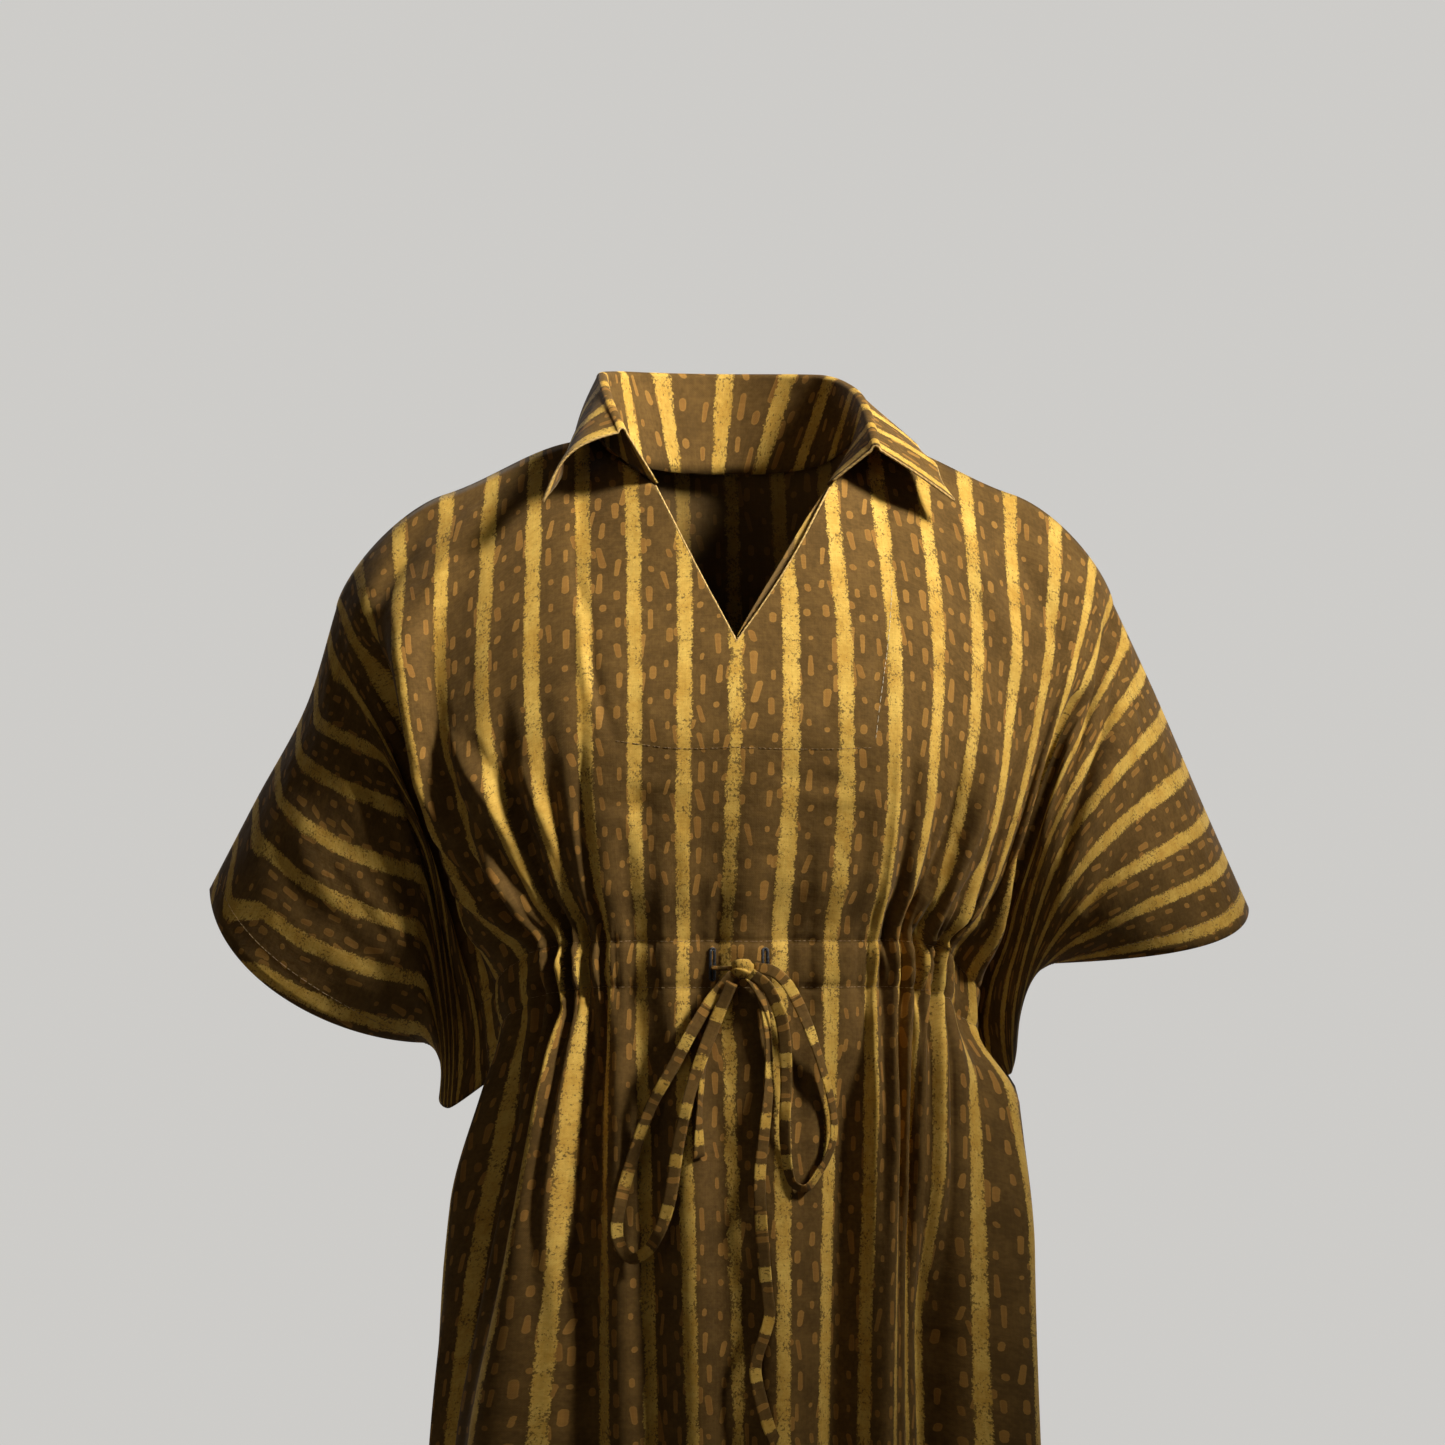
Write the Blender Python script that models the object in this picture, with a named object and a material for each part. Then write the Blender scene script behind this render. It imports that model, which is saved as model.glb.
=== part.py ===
"""A loose kaftan with an open collar and a gathered waist tie, worn, hollow and open.

Every panel is worked out from its flat cut. A point of the cloth has two flat coordinates: a, its distance
across from the centre line (the viewer's left is negative), and b, its distance down from the shoulder line.
The trunk follows level sections, each sleeve follows columns that fall from the shoulder line to the underarm
seam, and folds are waves along the cloth's own normal. The wall is the same surface moved out and in by half
its thickness. Metres, +Z up, the front faces -Y. The origin is where the neck and shoulders hold the garment.
"""

from collections import namedtuple

import bmesh
import bpy
import numpy as np
from mathutils import Matrix

MM = 0.001

# Driving dimensions of the cut
CUFF_A = 0.54  # half the cloth's width: centre line to cuff
SIDE_A = 0.31  # centre line to side seam
FAR_A = 0.20
NEAR_A = 0.10
NECK_A = 0.088  # centre line to the collar seam on the shoulder
ARM_B = 0.42  # shoulder line to the foot of the underarm seam
HEM_B = 1.24  # shoulder line to hem
V_TIP_B = 0.165  # foot of the V opening
V_END_B = 0.042  # where the collar ends on each edge of the V
V_LEFT_A, V_RIGHT_A = -0.050, 0.066
BACK_NECK_B = 0.024
ARMHOLE_BACK = 0.045  # how far behind the front's the back's side column lies above the underarm
CHANNEL_B = 0.386  # middle of the waist channel
CLOTH = 0.0012  # wall thickness
COLLAR_WALL = 0.0016
SEAM_GAP = 0.0003
CORNER_GAP = 0.0030  # at the point where underarm and side seam meet
LAYER = CLOTH + SEAM_GAP  # from one layer's middle to the next one's
TIE_WIDTH, TIE_WALL = 0.0085, 0.0018
TIE_STEP = 0.012  # from one section of a tie to the next
ROUNDNESS = 2.5  # power of the sections' superellipse
LEVEL_BELOW_V = 0.03  # this far below the V's tip the rows run level across the neck too
NECK_CURVE = 0.8  # power of the neck seam's curve from the shoulder to the V
CALM_SIDE = 0.025  # width beside each side seam over which the gathers die out

# How the back differs: rows by which its columns are spread evenly and the armhole comes forward again
BACK_EVEN_B, BACK_SPREAD, BACK_FORWARD_B = 0.30, 0.95, 0.24

# The neck edge's own way forward and back, the way both share at the shoulder seam, and where they come to it
NECK_FRONT_Y, NECK_BACK_Y, NECK_SEAM_Y = -0.028, 0.042, 0.007
NECK_MEET_A, NECK_MEET_B = 0.070, 0.030

# Where the trunk starts to leave the sleeve's first column, and how far out the sleeve takes up that step
TRUNK_LEAVES_B, SLEEVE_TAKES_UP = 0.29, 0.09
GUIDES_A = (0, NEAR_A, FAR_A, SIDE_A)

# How the armhole's turn and the cloth above the underarm are rounded: from where, how far and how much
EASE_FROM_A, EASE_REACH, EASE_FROM_B = 0.26, 0.07, 0.26
EASE, EASE_ROUNDS = 0.5, 3

# Columns of the cut, across the trunk and out to the cuff, and rows down it
GATHER_A = 0.215  # outer limit of the tight gathers
CENTRE_COLUMNS, GATHER_COLUMNS, SIDE_COLUMNS, SLEEVE_COLUMNS = (2, 3, 4, 2), 18, 7, 6
ROWS_B = (0, 0.035, 0.075, 0.12, 0.165, 0.205, 0.24, 0.285, 0.325, 0.352, 0.371, 0.386, 0.401, 0.42, 0.45,
          0.50, 0.57, 0.67, 0.80, 1.0, HEM_B)
FACING_ROW = ROWS_B.index(0.24)
CASING_ROWS = ROWS_B.index(0.371), ROWS_B.index(0.401)
ARM_ROW = ROWS_B.index(ARM_B)

# Front sections in millimetres: x at the centre line, and at the near, far and side columns of each half;
# z at centre, near, far and side; y at the centre and at the side
Section = namedtuple("Section", ("b x_mid l_near l_far l_side r_near r_far r_side "
                                 "z_mid z_near z_far z_side y_mid y_side"))
SECTIONS = (
    Section(0.000, 1, -98, -189, -262, 99, 191, 259, 8, 2, -34, -62, 0, 0),
    Section(0.042, 3, -97, -190, -255, 101, 191, 252, -28, -34, -72, -100, -34, -12),
    Section(0.100, 5, -95, -190, -239, 106, 191, 239, -80, -86, -126, -150, -70, -22),
    Section(0.165, 6, -94, -187, -221, 110, 186, 222, -134, -142, -182, -206, -102, -25),
    Section(0.240, 5, -92, -172, -201, 109, 173, 204, -204, -212, -250, -276, -126, -18),
    Section(0.325, 1, -85, -143, -176, 102, 153, 183, -283, -288, -308, -338, -121, -6),
    Section(0.371, -1, -78, -120, -157, 94, 138, 161, -328, -328, -334, -377, -112, 2),
    Section(0.401, -1, -78, -119, -155, 94, 138, 163, -358, -358, -364, -407, -112, 4),
    Section(0.450, 1, -81, -130, -166, 94, 139, 197, -406, -407, -414, -454, -117, 8),
    Section(0.570, 5, -83, -158, -184, 91, 139, 202, -525, -527, -536, -570, -127, 20),
    Section(0.720, 8, -83, -184, -196, 88, 142, 209, -675, -677, -686, -718, -132, 32),
    Section(0.980, 8, -87, -192, -215, 93, 152, 222, -933, -936, -944, -974, -136, 36),
    Section(1.240, 8, -92, -200, -230, 98, 164, 234, -1191, -1194, -1200, -1226, -140, 38),
)

# Back sections: y at the centre line, and how much lower the centre lies than the front's
BackSection = namedtuple("BackSection", "b y_mid z_lower")
BACK_SECTIONS = (
    BackSection(0.000, 0, 0),
    BackSection(0.042, 34, 2),
    BackSection(0.100, 66, 6),
    BackSection(0.165, 88, 10),
    BackSection(0.240, 99, 16),
    BackSection(0.325, 92, 18),
    BackSection(0.371, 80, 18),
    BackSection(0.401, 80, 18),
    BackSection(0.450, 93, 17),
    BackSection(0.570, 118, 15),
    BackSection(0.720, 124, 15),
    BackSection(0.980, 128, 15),
    BackSection(1.240, 132, 15),
)

# Sleeve columns in millimetres: the point on the shoulder line, the point on the underarm seam, and the
# handles of the curve between them on the front and on the back, out from the top and in to the seam
Column = namedtuple("Column", "a top seam front_out front_in back_out back_in")
LEFT_SLEEVE = (
    Column(0.31, (-262, 5, -110), (-158, 6, -425),
           (12, -50, -15), (-9, -56, 129), (8, 48, -22), (-5, 58, 129)),
    Column(0.38, (-281, 8, -172), (-188, 16, -446),
           (12, -60, -20), (22, -116, 195), (10, 55, -26), (20, 62, 110)),
    Column(0.46, (-316, 10, -238), (-194, 20, -440),
           (15, -70, -30), (26, -137, 126), (8, 55, -30), (16, 80, 50)),
    Column(0.54, (-348, 12, -299), (-184, 26, -401),
           (10, -75, -60), (-59, -84, -5), (12, 60, -50), (-43, 68, 10)),
)
RIGHT_SLEEVE = (
    Column(0.31, (259, 5, -107), (168, 6, -425),
           (-8, -55, -20), (6, -112, 150), (-8, 48, -22), (5, 58, 129)),
    Column(0.38, (286, 5, -165), (191, 16, -422),
           (-8, -65, -25), (-6, -152, 190), (-10, 55, -26), (-18, 64, 95)),
    Column(0.46, (321, 5, -246), (196, 21, -394),
           (-8, -75, -25), (9, -150, 118), (-8, 55, -30), (-16, 78, 45)),
    Column(0.54, (350, 5, -311), (191, 26, -350),
           (-5, -80, -30), (55, -112, 8), (-12, 60, -44), (48, 68, 10)),
)

# Gathers at the waist: limits across, number of ridges, height, and how far they reach up and down
Gather = namedtuple("Gather", "a_from a_to ridges height up down")
FRONT_GATHERS = (
    Gather(-SIDE_A, -GATHER_A, 1.75, 0.0040, 0.10, 0.16),
    Gather(-GATHER_A, -NEAR_A, 4.5, 0.0050, 0.13, 0.16),
    Gather(-NEAR_A, NEAR_A, 3.5, 0.0030, 0.10, 0.22),
    Gather(NEAR_A, GATHER_A, 4.5, 0.0050, 0.12, 0.18),
    Gather(GATHER_A, SIDE_A, 1.75, 0.0040, 0.10, 0.16),
)
BACK_GATHERS = (
    Gather(-SIDE_A, -GATHER_A, 1.75, 0.0040, 0.10, 0.18),
    Gather(-GATHER_A, -NEAR_A, 4.5, 0.0036, 0.12, 0.20),
    Gather(-NEAR_A, NEAR_A, 3.5, 0.0040, 0.12, 0.24),
    Gather(NEAR_A, GATHER_A, 4.5, 0.0036, 0.11, 0.18),
    Gather(GATHER_A, SIDE_A, 1.75, 0.0040, 0.10, 0.16),
)

# Large folds along the cloth: column, half width, height (a valley is negative), and the rows where the fold
# starts, is full, starts to fade and ends
Fold = namedtuple("Fold", "a half_width height b_start b_full b_fade b_end")
HEM_ON = 2.0  # past the hem, for a fold that runs out through it
FRONT_FOLDS = (
    Fold(-0.232, 0.030, 0.012, 0.04, 0.12, 0.26, 0.37),
    Fold(-0.272, 0.038, -0.018, 0.05, 0.14, 0.23, 0.33),
    Fold(-0.180, 0.022, 0.007, 0.14, 0.26, 0.36, 0.39),
    Fold(-0.155, 0.014, -0.006, 0.16, 0.28, 0.36, 0.39),
    Fold(-0.085, 0.026, 0.005, 0.20, 0.31, 0.36, 0.40),
    Fold(0.262, 0.034, -0.005, 0.12, 0.20, 0.27, 0.36),
    Fold(0.190, 0.024, 0.008, 0.14, 0.26, 0.36, 0.39),
    Fold(0.150, 0.016, -0.006, 0.15, 0.28, 0.36, 0.39),
    Fold(0.095, 0.024, 0.005, 0.20, 0.31, 0.36, 0.40),
    Fold(-0.262, 0.030, 0.010, 0.42, 0.52, 0.90, HEM_ON),
    Fold(-0.215, 0.026, -0.016, 0.40, 0.50, 0.80, HEM_ON),
    Fold(-0.155, 0.026, 0.014, 0.40, 0.48, 0.90, HEM_ON),
    Fold(-0.108, 0.024, -0.018, 0.39, 0.45, 0.75, HEM_ON),
    Fold(-0.062, 0.022, -0.013, 0.40, 0.50, 0.80, 1.15),
    Fold(-0.028, 0.022, 0.010, 0.40, 0.50, 1.00, HEM_ON),
    Fold(0.030, 0.026, 0.010, 0.40, 0.53, 1.00, HEM_ON),
    Fold(0.075, 0.024, -0.015, 0.40, 0.50, 0.95, HEM_ON),
    Fold(0.118, 0.026, 0.014, 0.40, 0.50, 0.95, HEM_ON),
    Fold(0.168, 0.024, -0.014, 0.42, 0.52, 0.66, 0.90),
    Fold(0.198, 0.030, -0.030, 0.50, 0.62, 1.00, HEM_ON),
    Fold(0.258, 0.034, 0.016, 0.42, 0.55, 1.00, HEM_ON),
)
BACK_FOLDS = (
    Fold(-0.250, 0.036, -0.007, 0.06, 0.16, 0.24, 0.34),
    Fold(0.250, 0.036, -0.007, 0.06, 0.16, 0.24, 0.34),
    Fold(-0.120, 0.030, 0.006, 0.12, 0.26, 0.36, 0.39),
    Fold(0.135, 0.028, 0.006, 0.12, 0.26, 0.36, 0.39),
    Fold(-0.240, 0.034, 0.014, 0.42, 0.55, 1.00, HEM_ON),
    Fold(-0.180, 0.030, -0.018, 0.42, 0.55, 1.00, HEM_ON),
    Fold(-0.110, 0.034, 0.014, 0.42, 0.58, 1.00, HEM_ON),
    Fold(-0.045, 0.030, -0.016, 0.42, 0.56, 1.00, HEM_ON),
    Fold(0.020, 0.032, 0.013, 0.42, 0.58, 1.00, HEM_ON),
    Fold(0.090, 0.032, -0.017, 0.42, 0.55, 1.00, HEM_ON),
    Fold(0.160, 0.034, 0.015, 0.42, 0.58, 1.00, HEM_ON),
    Fold(0.228, 0.030, -0.016, 0.42, 0.55, 1.00, HEM_ON),
)

# Collar stations in millimetres, from the left end round the back to the right end: the share of the neck
# seam's length, the roll line, the leaf's edge and how far the leaf arches between the two
Station = namedtuple("Station", "along roll edge arch")
COLLAR = (
    Station(0.00, (-69, -64, 7), (-120, -66, -42), 12),
    Station(0.12, (-79, -36, 30), (-106, -37, -13), 5),
    Station(0.25, (-84, 4, 48), (-99, 2, 6), 2),
    Station(0.38, (-61, 42, 51), (-86, 60, -6), 2),
    Station(0.50, (2, 62, 51), (2, 78, -15), 2),
    Station(0.62, (62, 40, 49), (90, 58, -6), 2),
    Station(0.75, (88, -2, 34), (119, 3, 2), 1),
    Station(0.88, (95, -34, 13), (135, -26, -12), 1),
    Station(1.00, (98, -54, -4), (149, -50, -40), 1),
)
COLLAR_UP, COLLAR_IN = 0.0018, 0.0018  # from the panels' neck edge to the middle of the collar's
TUCK_DOWN, TUCK_IN = 0.0050, 0.0032  # how much further down and in it goes at the centre back
NECK_TUCK_FROM, NECK_TUCK_TO = 0.010, 0.040  # y where that begins and where it is full
COLLAR_LENGTHS = 32
ROLL_RADIUS = 0.0030  # the roll's own bend, from the stand over to the leaf
STAND_STEPS, ROLL_STEPS, LEAF_STEPS = 2, 4, 3  # rows of faces up the stand, over the roll and down the leaf

# The bow: each route's points as seen from the front, x and z in millimetres
KNOT = (10, -345)
KNOT_HALF, KNOT_STANDS_OFF = (0.0068, 0.0052, 0.0060), 0.0075
STUB = ((-10, -345), (-4, -345.5), (2.9, -345))
LOOP_LEFT = ((4, -349), (-8, -362), (-22, -384), (-36, -410), (-50, -436), (-63, -474), (-71, -508),
             (-68, -526), (-59, -532), (-49, -523), (-41, -507), (-36, -488), (-31, -455), (-22, -418),
             (-10, -385), (3, -354))
LOOP_RIGHT = ((17, -345), (32, -348), (43, -362), (53, -384), (61, -408), (67, -430), (69, -452), (63, -470),
              (53, -483), (47, -488), (41, -480), (38, -466), (37, -444), (38, -412), (35, -378), (24, -354),
              (15, -348))
TAIL_SHORT = ((6.5, -347.5), (-2, -368), (-12, -390), (-16, -415), (-18, -440), (-18, -466))
TAIL_LONG = ((14, -350.5), (22, -364), (26, -385), (27, -415), (25, -440), (21, -478), (22, -510), (25, -548),
             (27, -568), (20, -590), (18, -602), (21, -618), (26, -636), (31, -648))


def smooth(x, y, at):
    """A smooth curve through places x and values y, whose last axis runs along the places.

    Cubic pieces, with slopes that never overshoot the values; level past both ends.
    """
    x, y = np.asarray(x, float), np.asarray(y, float)
    slope = np.diff(y, axis=-1) / np.diff(x)
    one, two = slope[..., :-1], slope[..., 1:]
    same = one * two > 0
    middle = np.where(same, 2 * one * two / np.where(same, one + two, 1), 0)
    slopes = np.concatenate([slope[..., :1], middle, slope[..., -1:]], axis=-1)
    at = np.clip(at, x[0], x[-1])
    shape = np.broadcast_shapes(at.shape, y.shape[:-1])
    i = np.clip(np.searchsorted(x, at, side="right") - 1, 0, len(x) - 2)
    h, t = (x[i + 1] - x[i]), (at - x[i]) / (x[i + 1] - x[i])
    i = np.broadcast_to(i, shape)[..., None]
    y, slopes = (np.broadcast_to(v, shape + v.shape[-1:]) for v in (y, slopes))
    y0, y1, m0, m1 = (np.take_along_axis(v, k, -1)[..., 0]
                      for v, k in ((y, i), (y, i + 1), (slopes, i), (slopes, i + 1)))
    return ((1 + 2 * t) * (1 - t) ** 2 * y0 + t * (1 - t) ** 2 * h * m0
            + t * t * (3 - 2 * t) * y1 + t * t * (t - 1) * h * m1)


def smooth_rows(rows, at):
    """Smooth curves through a table whose first column is the place along it; one value a column."""
    rows = np.asarray(rows, float)
    return smooth(rows[:, 0], rows[:, 1:].T, np.asarray(at)[..., None])


def ramp(value, start, end):
    """0 before start, 1 after end, with level ends between."""
    t = np.clip((value - start) / (end - start), 0, 1)
    return t * t * (3 - 2 * t)


def sections_at(b):
    """The front's section values at rows b, as a dictionary of arrays in metres."""
    table = np.array(SECTIONS, float)
    values = smooth_rows(table, b) * MM
    return dict(zip(Section._fields[1:], np.moveaxis(values, -1, 0)))


def angle_across(a, s, right):
    """The angle round a section at columns a, from 0 at the centre line to a right angle at the side seam."""
    side = "r" if right else "l"
    reach = s[side + "_side"] - s["x_mid"]
    near, far = (np.arcsin((s[f"{side}_{k}"] - s["x_mid"]) / reach) for k in ("near", "far"))
    guides = np.stack([np.zeros_like(near), near, far, np.full_like(near, np.pi / 2)], axis=-1)
    return smooth(GUIDES_A, guides, np.abs(a))


def height_across(a, s):
    """z of a section at columns a, from the centre line to the side."""
    guides = np.stack([s[k] for k in ("z_mid", "z_near", "z_far", "z_side")], axis=-1)
    return smooth(GUIDES_A, guides, np.abs(a))


def trunk_half(a, b, back, right):
    """One half of the trunk at flat points (a, b): a superellipse section at each row."""
    s = sections_at(b)
    shoulder = sections_at(np.zeros_like(b))
    theta = angle_across(a, s, right)
    z = height_across(a, s)
    y_mid, y_side = s["y_mid"], s["y_side"]
    if back:
        even = np.pi / 2 * (np.abs(a) / SIDE_A) ** BACK_SPREAD
        own = ramp(b, 0.0, BACK_EVEN_B)
        theta = (1 - own) * angle_across(a, shoulder, right) + own * even
        values = smooth_rows(np.array(BACK_SECTIONS, float), b) * MM
        y_mid = values[..., 0]
        y_side = y_side + ARMHOLE_BACK * ramp(b, 0, NEAR_A) * (1 - ramp(b, BACK_FORWARD_B, ARM_B))
        z = z - values[..., 1] * np.cos(theta)
    reach = s["r_side" if right else "l_side"] - s["x_mid"]
    across = np.sin(theta)
    x = s["x_mid"] + reach * across
    bow = np.maximum(1 - across ** ROUNDNESS, 0) ** (1 / ROUNDNESS)
    y = y_side + (y_mid - y_side) * bow
    neck = np.maximum(1 - (a / NEAR_A) ** 2, 0) * (1 - ramp(b, 0.0, V_TIP_B))
    meet = ramp(np.abs(a), NECK_MEET_A, NECK_A) * (1 - ramp(b, 0, NECK_MEET_B))
    own_way = NECK_BACK_Y if back else NECK_FRONT_Y
    y = y + neck * (own_way + (NECK_SEAM_Y - own_way) * meet)
    return np.stack([x, y, z], axis=-1)


def sleeve(a, t, back, right):
    """A sleeve at columns a and shares t of the way down them: a cubic curve from the top to the seam."""
    table = RIGHT_SLEEVE if right else LEFT_SLEEVE
    rows = []
    for c in table:
        top, seam = np.array(c.top), np.array(c.seam)
        out, into = (c.back_out, c.back_in) if back else (c.front_out, c.front_in)
        rows.append([c.a, *top, *(top + out), *(seam + into), *seam])
    p = smooth_rows(np.array(rows, float), np.abs(a)) * MM
    p0, p1, p2, p3 = (p[..., 3 * i:3 * i + 3] for i in range(4))
    t = t[..., None]
    return (1 - t) ** 3 * p0 + 3 * t * (1 - t) ** 2 * p1 + 3 * t * t * (1 - t) * p2 + t ** 3 * p3


def side_step(b, back, right):
    """From the trunk's side column to the sleeve's first column, above the underarm."""
    edge = np.full_like(b, SIDE_A)
    return sleeve(edge, np.clip(b / ARM_B, 0, 1), back, right) - trunk_half(edge, b, back, right)


def body_half(a, b, back, right):
    """The trunk, moved over to the sleeve's first column towards the side above the underarm."""
    share = ramp(np.abs(a), FAR_A, SIDE_A) * (1 - ramp(b, TRUNK_LEAVES_B, ARM_B))
    return trunk_half(a, b, back, right) + share[..., None] * side_step(b, back, right)


def sleeve_part(a, t, back, right):
    """The sleeve beyond the side column, which it meets without a step."""
    edge = np.full_like(a, SIDE_A)
    step = body_half(edge, t * ARM_B, back, right) - sleeve(edge, t, back, right)
    share = 1 - ramp(np.abs(a), SIDE_A, SIDE_A + SLEEVE_TAKES_UP)
    return sleeve(a, t, back, right) + step * share[..., None]


def neck_top(a, back):
    """The row where each column starts: the V and the collar's seam in front, a shallow scoop behind."""
    if back:
        return BACK_NECK_B * np.sqrt(np.maximum(1 - (a / NECK_A) ** 2, 0))
    end = np.where(a < 0, -V_LEFT_A, V_RIGHT_A)
    far = np.abs(a)
    slit = V_TIP_B + (V_END_B - V_TIP_B) * far / end
    seam = V_END_B * np.clip((NECK_A - far) / (NECK_A - end), 0, 1) ** NECK_CURVE
    return np.where(far < end, slit, seam)


def columns_across():
    """The trunk's columns, closer together where the waist is gathered."""
    half = np.concatenate([
        np.linspace(NEAR_A, GATHER_A, GATHER_COLUMNS + 1)[1:],
        np.linspace(GATHER_A, SIDE_A, SIDE_COLUMNS + 1)[1:],
    ])
    marks = (-NECK_A, V_LEFT_A, 0, V_RIGHT_A, NECK_A)
    centre = [np.linspace(start, end, count + 1)[1:]
              for start, end, count in zip(marks, marks[1:], CENTRE_COLUMNS)]
    return np.concatenate([-half[::-1], [-NEAR_A, -NECK_A], *centre, [NEAR_A], half])


def fold_height(a, b, gathers, folds):
    """How far the cloth stands out from its plain form at flat points (a, b)."""
    height = np.zeros(a.shape)
    for g in gathers:
        inside = (a >= g.a_from) & (a <= g.a_to)
        wave = np.cos(2 * np.pi * g.ridges * (a - g.a_from) / (g.a_to - g.a_from))
        reach = np.where(b < CHANNEL_B, g.up, g.down)
        height += np.where(inside, g.height * wave * np.exp(-((b - CHANNEL_B) / reach) ** 2), 0)
    height *= ramp(SIDE_A - np.abs(a), 0, CALM_SIDE)
    for f in folds:
        across = np.clip(np.abs(a - f.a) / f.half_width, 0, 1)
        along = ramp(b, f.b_start, f.b_full) * (1 - ramp(b, f.b_fade, f.b_end))
        height += f.height * 0.5 * (1 + np.cos(np.pi * across)) * along
    return height


class Cut:
    """The flat grid of a panel: trunk columns from neck or shoulder to hem, and a sleeve on each side."""

    def __init__(self, back):
        self.back = back
        across, rows = columns_across(), np.array(ROWS_B)
        top = neck_top(across, back)
        free = rows.searchsorted(V_TIP_B + LEVEL_BELOW_V)
        share = np.clip(rows / rows[free], 0, 1)
        self.a = np.tile(across, (len(rows), 1))
        self.b = np.where(np.arange(len(rows))[:, None] < free,
                          top + (rows[free] - top) * share[:, None], rows[:, None])
        self.t = rows[:ARM_ROW + 1] / ARM_B
        self.sleeve_a = np.linspace(SIDE_A, CUFF_A, SLEEVE_COLUMNS + 1)[1:]
        self.points = self.place()
        self.ease_armholes()
        self.faces = self.quads()
        self.normals = corner_normals(self.points, self.faces)
        sleeve_cells = 2 * (ARM_ROW + 1) * SLEEVE_COLUMNS
        flat_fold = fold_height(self.a, self.b, BACK_GATHERS if back else FRONT_GATHERS,
                                BACK_FOLDS if back else FRONT_FOLDS)
        lift = np.concatenate([flat_fold.ravel(), np.zeros(sleeve_cells)])
        self.points = self.points + lift[:, None] * self.normals
        self.normals = corner_normals(self.points, self.faces)

    def place(self):
        """All the grid's points: the trunk's row by row, then the left and the right sleeve's."""
        half = self.column_at(0)
        left = body_half(self.a[:, :half], self.b[:, :half], self.back, False)
        right = body_half(self.a[:, half:], self.b[:, half:], self.back, True)
        grids = [np.concatenate([left, right], axis=1)]
        t, a = np.meshgrid(self.t, self.sleeve_a, indexing="ij")
        grids += [sleeve_part(-a, t, self.back, False), sleeve_part(a, t, self.back, True)]
        return np.concatenate([g.reshape(-1, 3) for g in grids])

    def ease_armholes(self):
        """Rounds the turn from trunk to sleeve and the cloth above the underarm seam."""
        wide = self.a.shape[1]
        trunk_a = np.abs(self.a[0])
        inner, around, share = [], [], []
        for column in range(1 - SLEEVE_COLUMNS, wide - 1 + SLEEVE_COLUMNS):
            beyond = -column if column < 0 else column - wide + 1
            a = self.sleeve_a[beyond - 1] if not 0 <= column < wide else trunk_a[column]
            if a < EASE_FROM_A:
                continue
            for row in range(1, ARM_ROW):
                inner.append(self.index(row, column))
                around.append([self.index(row - 1, column), self.index(row + 1, column),
                               self.index(row, column - 1), self.index(row, column + 1)])
                turn = 1 - ramp(abs(a - SIDE_A), 0, EASE_REACH)
                low = ramp(ROWS_B[row], EASE_FROM_B, ROWS_B[ARM_ROW - 1])
                share.append(EASE * max(turn, low))
        share = np.array(share)[:, None]
        for _ in range(EASE_ROUNDS):
            middle = self.points[np.array(around)].mean(axis=1)
            self.points[inner] += (middle - self.points[inner]) * share

    def column_at(self, a):
        """The trunk column at a place across."""
        return int(np.argmin(np.abs(self.a[0] - a)))

    def neck_edge(self, start, end):
        """The points of the top edge between two places across."""
        first, last = self.column_at(start), self.column_at(end)
        return self.points[[self.index(0, c) for c in range(first, last + 1)]]

    def index(self, row, column):
        """The number of a grid point; columns below 0 or past the trunk's last are the sleeves'."""
        wide = self.a.shape[1]
        if 0 <= column < wide:
            return row * wide + column
        start = self.a.size
        if column < 0:
            return start + row * SLEEVE_COLUMNS + (-column - 1)
        return start + (ARM_ROW + 1 + row) * SLEEVE_COLUMNS + (column - wide)

    def quads(self):
        """The panel's faces, with their outer side towards the viewer in front and away from them behind."""
        wide, faces = self.a.shape[1], []
        for row in range(len(ROWS_B) - 1):
            first, last = (-SLEEVE_COLUMNS, wide - 1 + SLEEVE_COLUMNS) if row < ARM_ROW else (0, wide - 1)
            for column in range(first, last):
                corners = (self.index(row, column), self.index(row + 1, column),
                           self.index(row + 1, column + 1), self.index(row, column + 1))
                faces.append(corners[::-1] if self.back else corners)
        return faces

    def seam_pairs(self):
        """Each seam point with the grid point next to it inside the panel."""
        wide, pairs = self.a.shape[1], []
        for column in range(-SLEEVE_COLUMNS, wide + SLEEVE_COLUMNS):
            beyond = column < 0 or column >= wide
            if beyond or abs(self.a[0, column]) >= NECK_A:
                pairs.append((self.index(0, column), self.index(1, column)))
            if beyond:
                pairs.append((self.index(ARM_ROW, column), self.index(ARM_ROW - 1, column)))
        for row in range(ARM_ROW, len(ROWS_B)):
            pairs += [(self.index(row, 0), self.index(row, 1)),
                      (self.index(row, wide - 1), self.index(row, wide - 2))]
        return pairs

    def underarm_corners(self):
        """Where the underarm seam meets the side seam, with the next seam point on each of the two."""
        last = self.a.shape[1] - 1
        return [(self.index(ARM_ROW, 0), self.index(ARM_ROW, -1), self.index(ARM_ROW + 1, 0)),
                (self.index(ARM_ROW, last), self.index(ARM_ROW, last + 1), self.index(ARM_ROW + 1, last))]


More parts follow.
